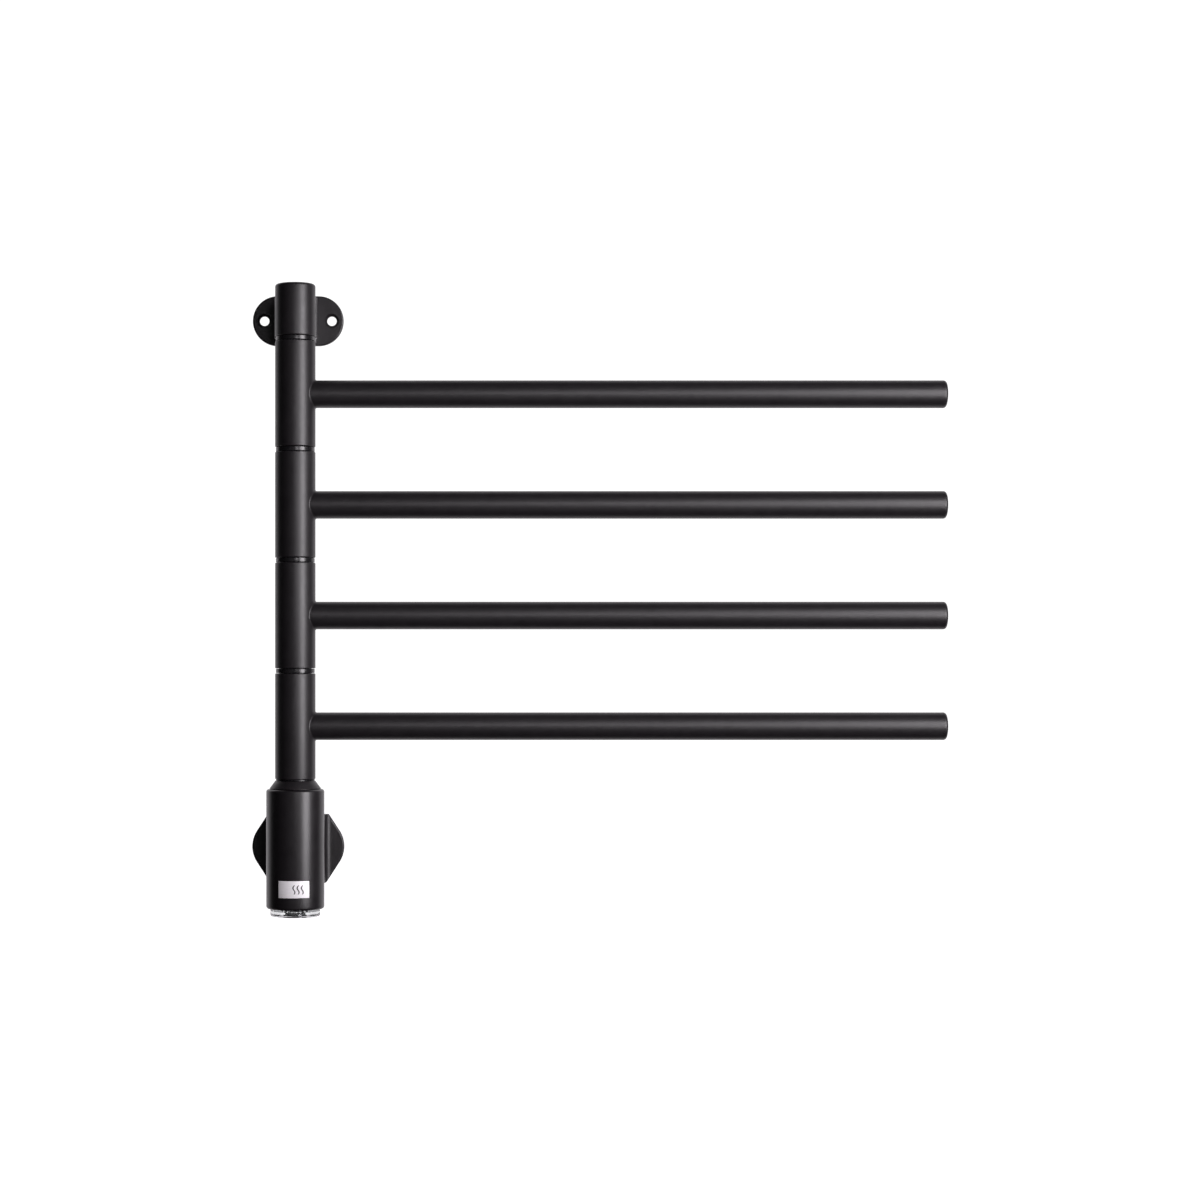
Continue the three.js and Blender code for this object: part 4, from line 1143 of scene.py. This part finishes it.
def make_lower_bracket():
    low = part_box("lower_bracket")[0]
    bottom, top = low.z - LOWER_Z, top_of("lower_bracket") - LOWER_Z
    outline = wing_outline()
    levels = eased_levels(0, -WING_THICKNESS, BACK_EDGE, WING_EDGE)
    bracket = slab("lower_wall_bracket", outline, levels)
    foot, front = (BLOCK_HALF, -WING_THICKNESS), (BLOCK_HALF, low.y)
    section = stem_section(*foot, *front, BLOCK_FILLET, BLOCK_CORNER)
    block = column("block", section, bottom - MM, top + MM)
    limits = slab("limits", outline, [(BLOCK_INSET, y) for y in (BLOCK_BACK, low.y - MM)])
    combined(block, "INTERSECT", limits)
    with_edges(block, BLOCK_EDGE, segments=4)
    combined(bracket, "UNION", block)
    cavity = rounded_rectangle(CAVITY_HALF_X, CAVITY_HALF_Z, CAVITY_CORNER)
    tools = [slab("cavity", cavity, [(0, MM), (0, -CAVITY_DEPTH)])]
    tools.append(post_saddle(HOUSING_RADIUS, LOWER_SADDLE_REACH))
    for z in (HOUSING_BOLT_Z, -HOUSING_BOLT_Z):
        ends = [(0, y, z) for y in (HOUSING_BOLT_FRONT, HOUSING_BOLT_BACK)]
        tools.append(rod("bolt_way", BOLT_WAY, *ends))
    y = middle("lock_screw").y
    ends = [(0, y, z) for z in (bottom - MM, bottom + SCREW_WAY_LENGTH)]
    tools.append(rod("screw_way", SCREW_WAY, *ends))
    combined(bracket, "DIFFERENCE", *tools)
    with_edges(bracket, CAVITY_EDGE)
    placed(bracket, Matrix.Translation((0, 0, LOWER_Z)))
    finished(bracket, COAT, "satin_black", "mast", "lower_bracket")


def make_wall_plate():
    """The plate inside the lower bracket, with its bent lips, screw holes and cable window."""
    low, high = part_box("lower_wall_plate")
    half_z = (high.z - low.z) / 2
    outline = rounded_rectangle(half_width("lower_wall_plate"), half_z, WALL_PLATE_CORNER)
    levels = eased_levels(0, -WALL_PLATE_THICKNESS, *WALL_PLATE_EDGES, steps=3)
    plate = slab("wall_plate", outline, levels)
    for side in (-1, 1):
        corners = [(x * WALL_LIP_HALF, z * MM) for x, z in CORNER_SIGNS]
        lip = slab("lip", [Vector(corner) for corner in corners], [(0, -MM), (0, low.y)])
        placed(lip, Matrix.Translation((0, 0, side * (half_z - MM))))
        combined(plate, "UNION", lip)
    window = middle("cable_grommet")
    holes = [
        ("screw_hole", WALL_SCREW_HOLE, 0, -WALL_SCREW_Z),
        ("screw_hole", WALL_SCREW_HOLE, 0, WALL_SCREW_Z),
        ("window", WINDOW_RADIUS, window.x, window.z - LOWER_Z),
    ]
    tools = [rod(name, radius, (x, -BEYOND, z), (x, BEYOND, z)) for name, radius, x, z in holes]
    combined(plate, "DIFFERENCE", *tools)
    with_edges(plate, WALL_PLATE_EDGES[0], segments=2)
    placed(plate, Matrix.Translation((0, 0, LOWER_Z)))
    finished(plate, DARK_STEEL, "dark_steel", "mast", "lower_wall_plate")


def make_grommet():
    low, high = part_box("cable_grommet")
    flange = half_width("cable_grommet")
    profile = eased([
        (GROMMET_BORE, -high.y, GROMMET_EDGE),
        (GROMMET_NECK, -high.y, GROMMET_EDGE),
        (GROMMET_NECK, GROMMET_SHOULDER),
        (flange, GROMMET_SHOULDER, GROMMET_EDGE),
        (flange, -low.y, 2 * GROMMET_EDGE),
        (GROMMET_BORE, -low.y, 2 * GROMMET_EDGE),
    ])
    grommet = turned("cable_bush", profile, segments=SMALL_SEGMENTS)
    centre = middle("cable_grommet")
    out_of_wall(grommet, centre.x, 0, centre.z)
    finished(grommet, BLACK_PLASTIC, "black_plastic", "mast", "cable_grommet")


def hexagon_tool(across_flats, bottom, top):
    ring = arc(0, 0, across_flats / math.sqrt(3), 0, 360, 6)[:-1]
    return loft("socket", [[(p.x, p.y, z) for p in ring] for z in (bottom, top)])


def make_cap_screw(node, name):
    """A cap-head screw with a knurled head and a hexagon socket, its head towards the wall."""
    low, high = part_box(node)
    head_radius, length = half_width(node), high.y - low.y
    seat = length - CAP_HEAD_HEIGHT
    profile = eased([
        (0, 0),
        (CAP_SHANK, 0, CAP_EDGE),
        (CAP_SHANK, seat),
        (head_radius, seat, CAP_UNDER_EDGE),
        (head_radius, length, CAP_EDGE),
        (0, length),
    ], closed=False)

    def knurl(angle, z):
        on_side = seat + KNURL_START < z < length - KNURL_END
        return -KNURL_DEPTH * (1 + math.cos(KNURL_COUNT * angle)) if on_side else 0

    screw = turned(name, profile, closed=False, relief=knurl)
    socket = hexagon_tool(CAP_SOCKET, length - CAP_SOCKET_DEPTH, length + MM)
    combined(screw, "DIFFERENCE", socket)
    centre = middle(node)
    turn = Matrix.Rotation(-math.pi / 2, 4, "X")
    placed(screw, Matrix.Translation((centre.x, low.y, centre.z)) @ turn)
    finished(screw, DARK_STEEL, "dark_steel", "mast", node)


def make_lock_screw():
    low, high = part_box("lock_screw")
    radius, length = half_width("lock_screw"), high.z - low.z
    corners = [(0, 0), (radius, 0, GRUB_POINT_EDGE), (radius, length, GRUB_EDGE), (0, length)]
    profile = eased(corners, closed=False)
    screw = turned("grub_screw", profile, closed=False, segments=SMALL_SEGMENTS)
    combined(screw, "DIFFERENCE", hexagon_tool(GRUB_SOCKET, -MM, GRUB_SOCKET_DEPTH))
    centre = middle("lock_screw")
    placed(screw, Matrix.Translation((centre.x, centre.y, low.z)))
    finished(screw, DARK_STEEL, "dark_steel", "mast", "lock_screw")


# ---------------------------------------------------------------- what stays as the frame has it

def finish_frame_nodes():
    numbered = [
        (FOIL, "heater_"),
        (RED_SHEATH, "heater_lead_"),
        (DARK_STEEL, "stop_pin_"),
    ]
    looks = {
        "core_tube": TUBE_STEEL,
        "core_nut": DARK_STEEL,
        "mounting_block": ALLOY,
        "board_carrier": BLACK_PLASTIC,
        "control_board": BOARD,
        "power_relay": BLACK_PLASTIC,
        "board_capacitor": BLACK_PLASTIC,
        "push_switch": BLACK_PLASTIC,
        "retaining_ring": DARK_STEEL,
        "button_spring": SPRING_STEEL,
        "wiring_harness": GREY_SHEATH,
        "supply_lead": GREY_SHEATH,
        "cable_clamp": WHITE_PLASTIC,
        "terminal_block": WHITE_PLASTIC,
    }
    for look, start in numbered:
        for number in ARM_NUMBERS:
            looks[f"{start}{number}"] = look
    for name, look in looks.items():
        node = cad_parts[name]
        node.data.materials.clear()
        node.data.materials.append(look)


bpy.context.scene.view_settings.view_transform = "Standard"
add_camera()
add_softbox("key_softbox", 46, 7.8, distance=1.4, width=0.62, height=1.06, radiance=12.5)
add_softbox("fill_softbox", 13, 9, distance=1.4, width=0.3, height=0.35, radiance=6.5)
add_softbox("front_panel", -5, 0, distance=2.6, width=2.4, height=1.6, radiance=0.1)
add_surroundings()
add_floor()

make_top_sleeve()
for ring_number in range(1, len(ARM_NUMBERS) + 2):
    make_bearing_ring(ring_number)
make_collar()
make_housing()
make_badge()
make_push_button()
make_button_fittings()
for arm_number in ARM_NUMBERS:
    make_arm(arm_number)
make_upper_bracket()
make_lower_bracket()
make_wall_plate()
make_grommet()
for bolt_number in (1, 2):
    make_cap_screw(f"sleeve_bolt_{bolt_number}", f"sleeve_screw_{bolt_number}")
    make_cap_screw(f"housing_bolt_{bolt_number}", f"housing_screw_{bolt_number}")
make_lock_screw()
finish_frame_nodes()
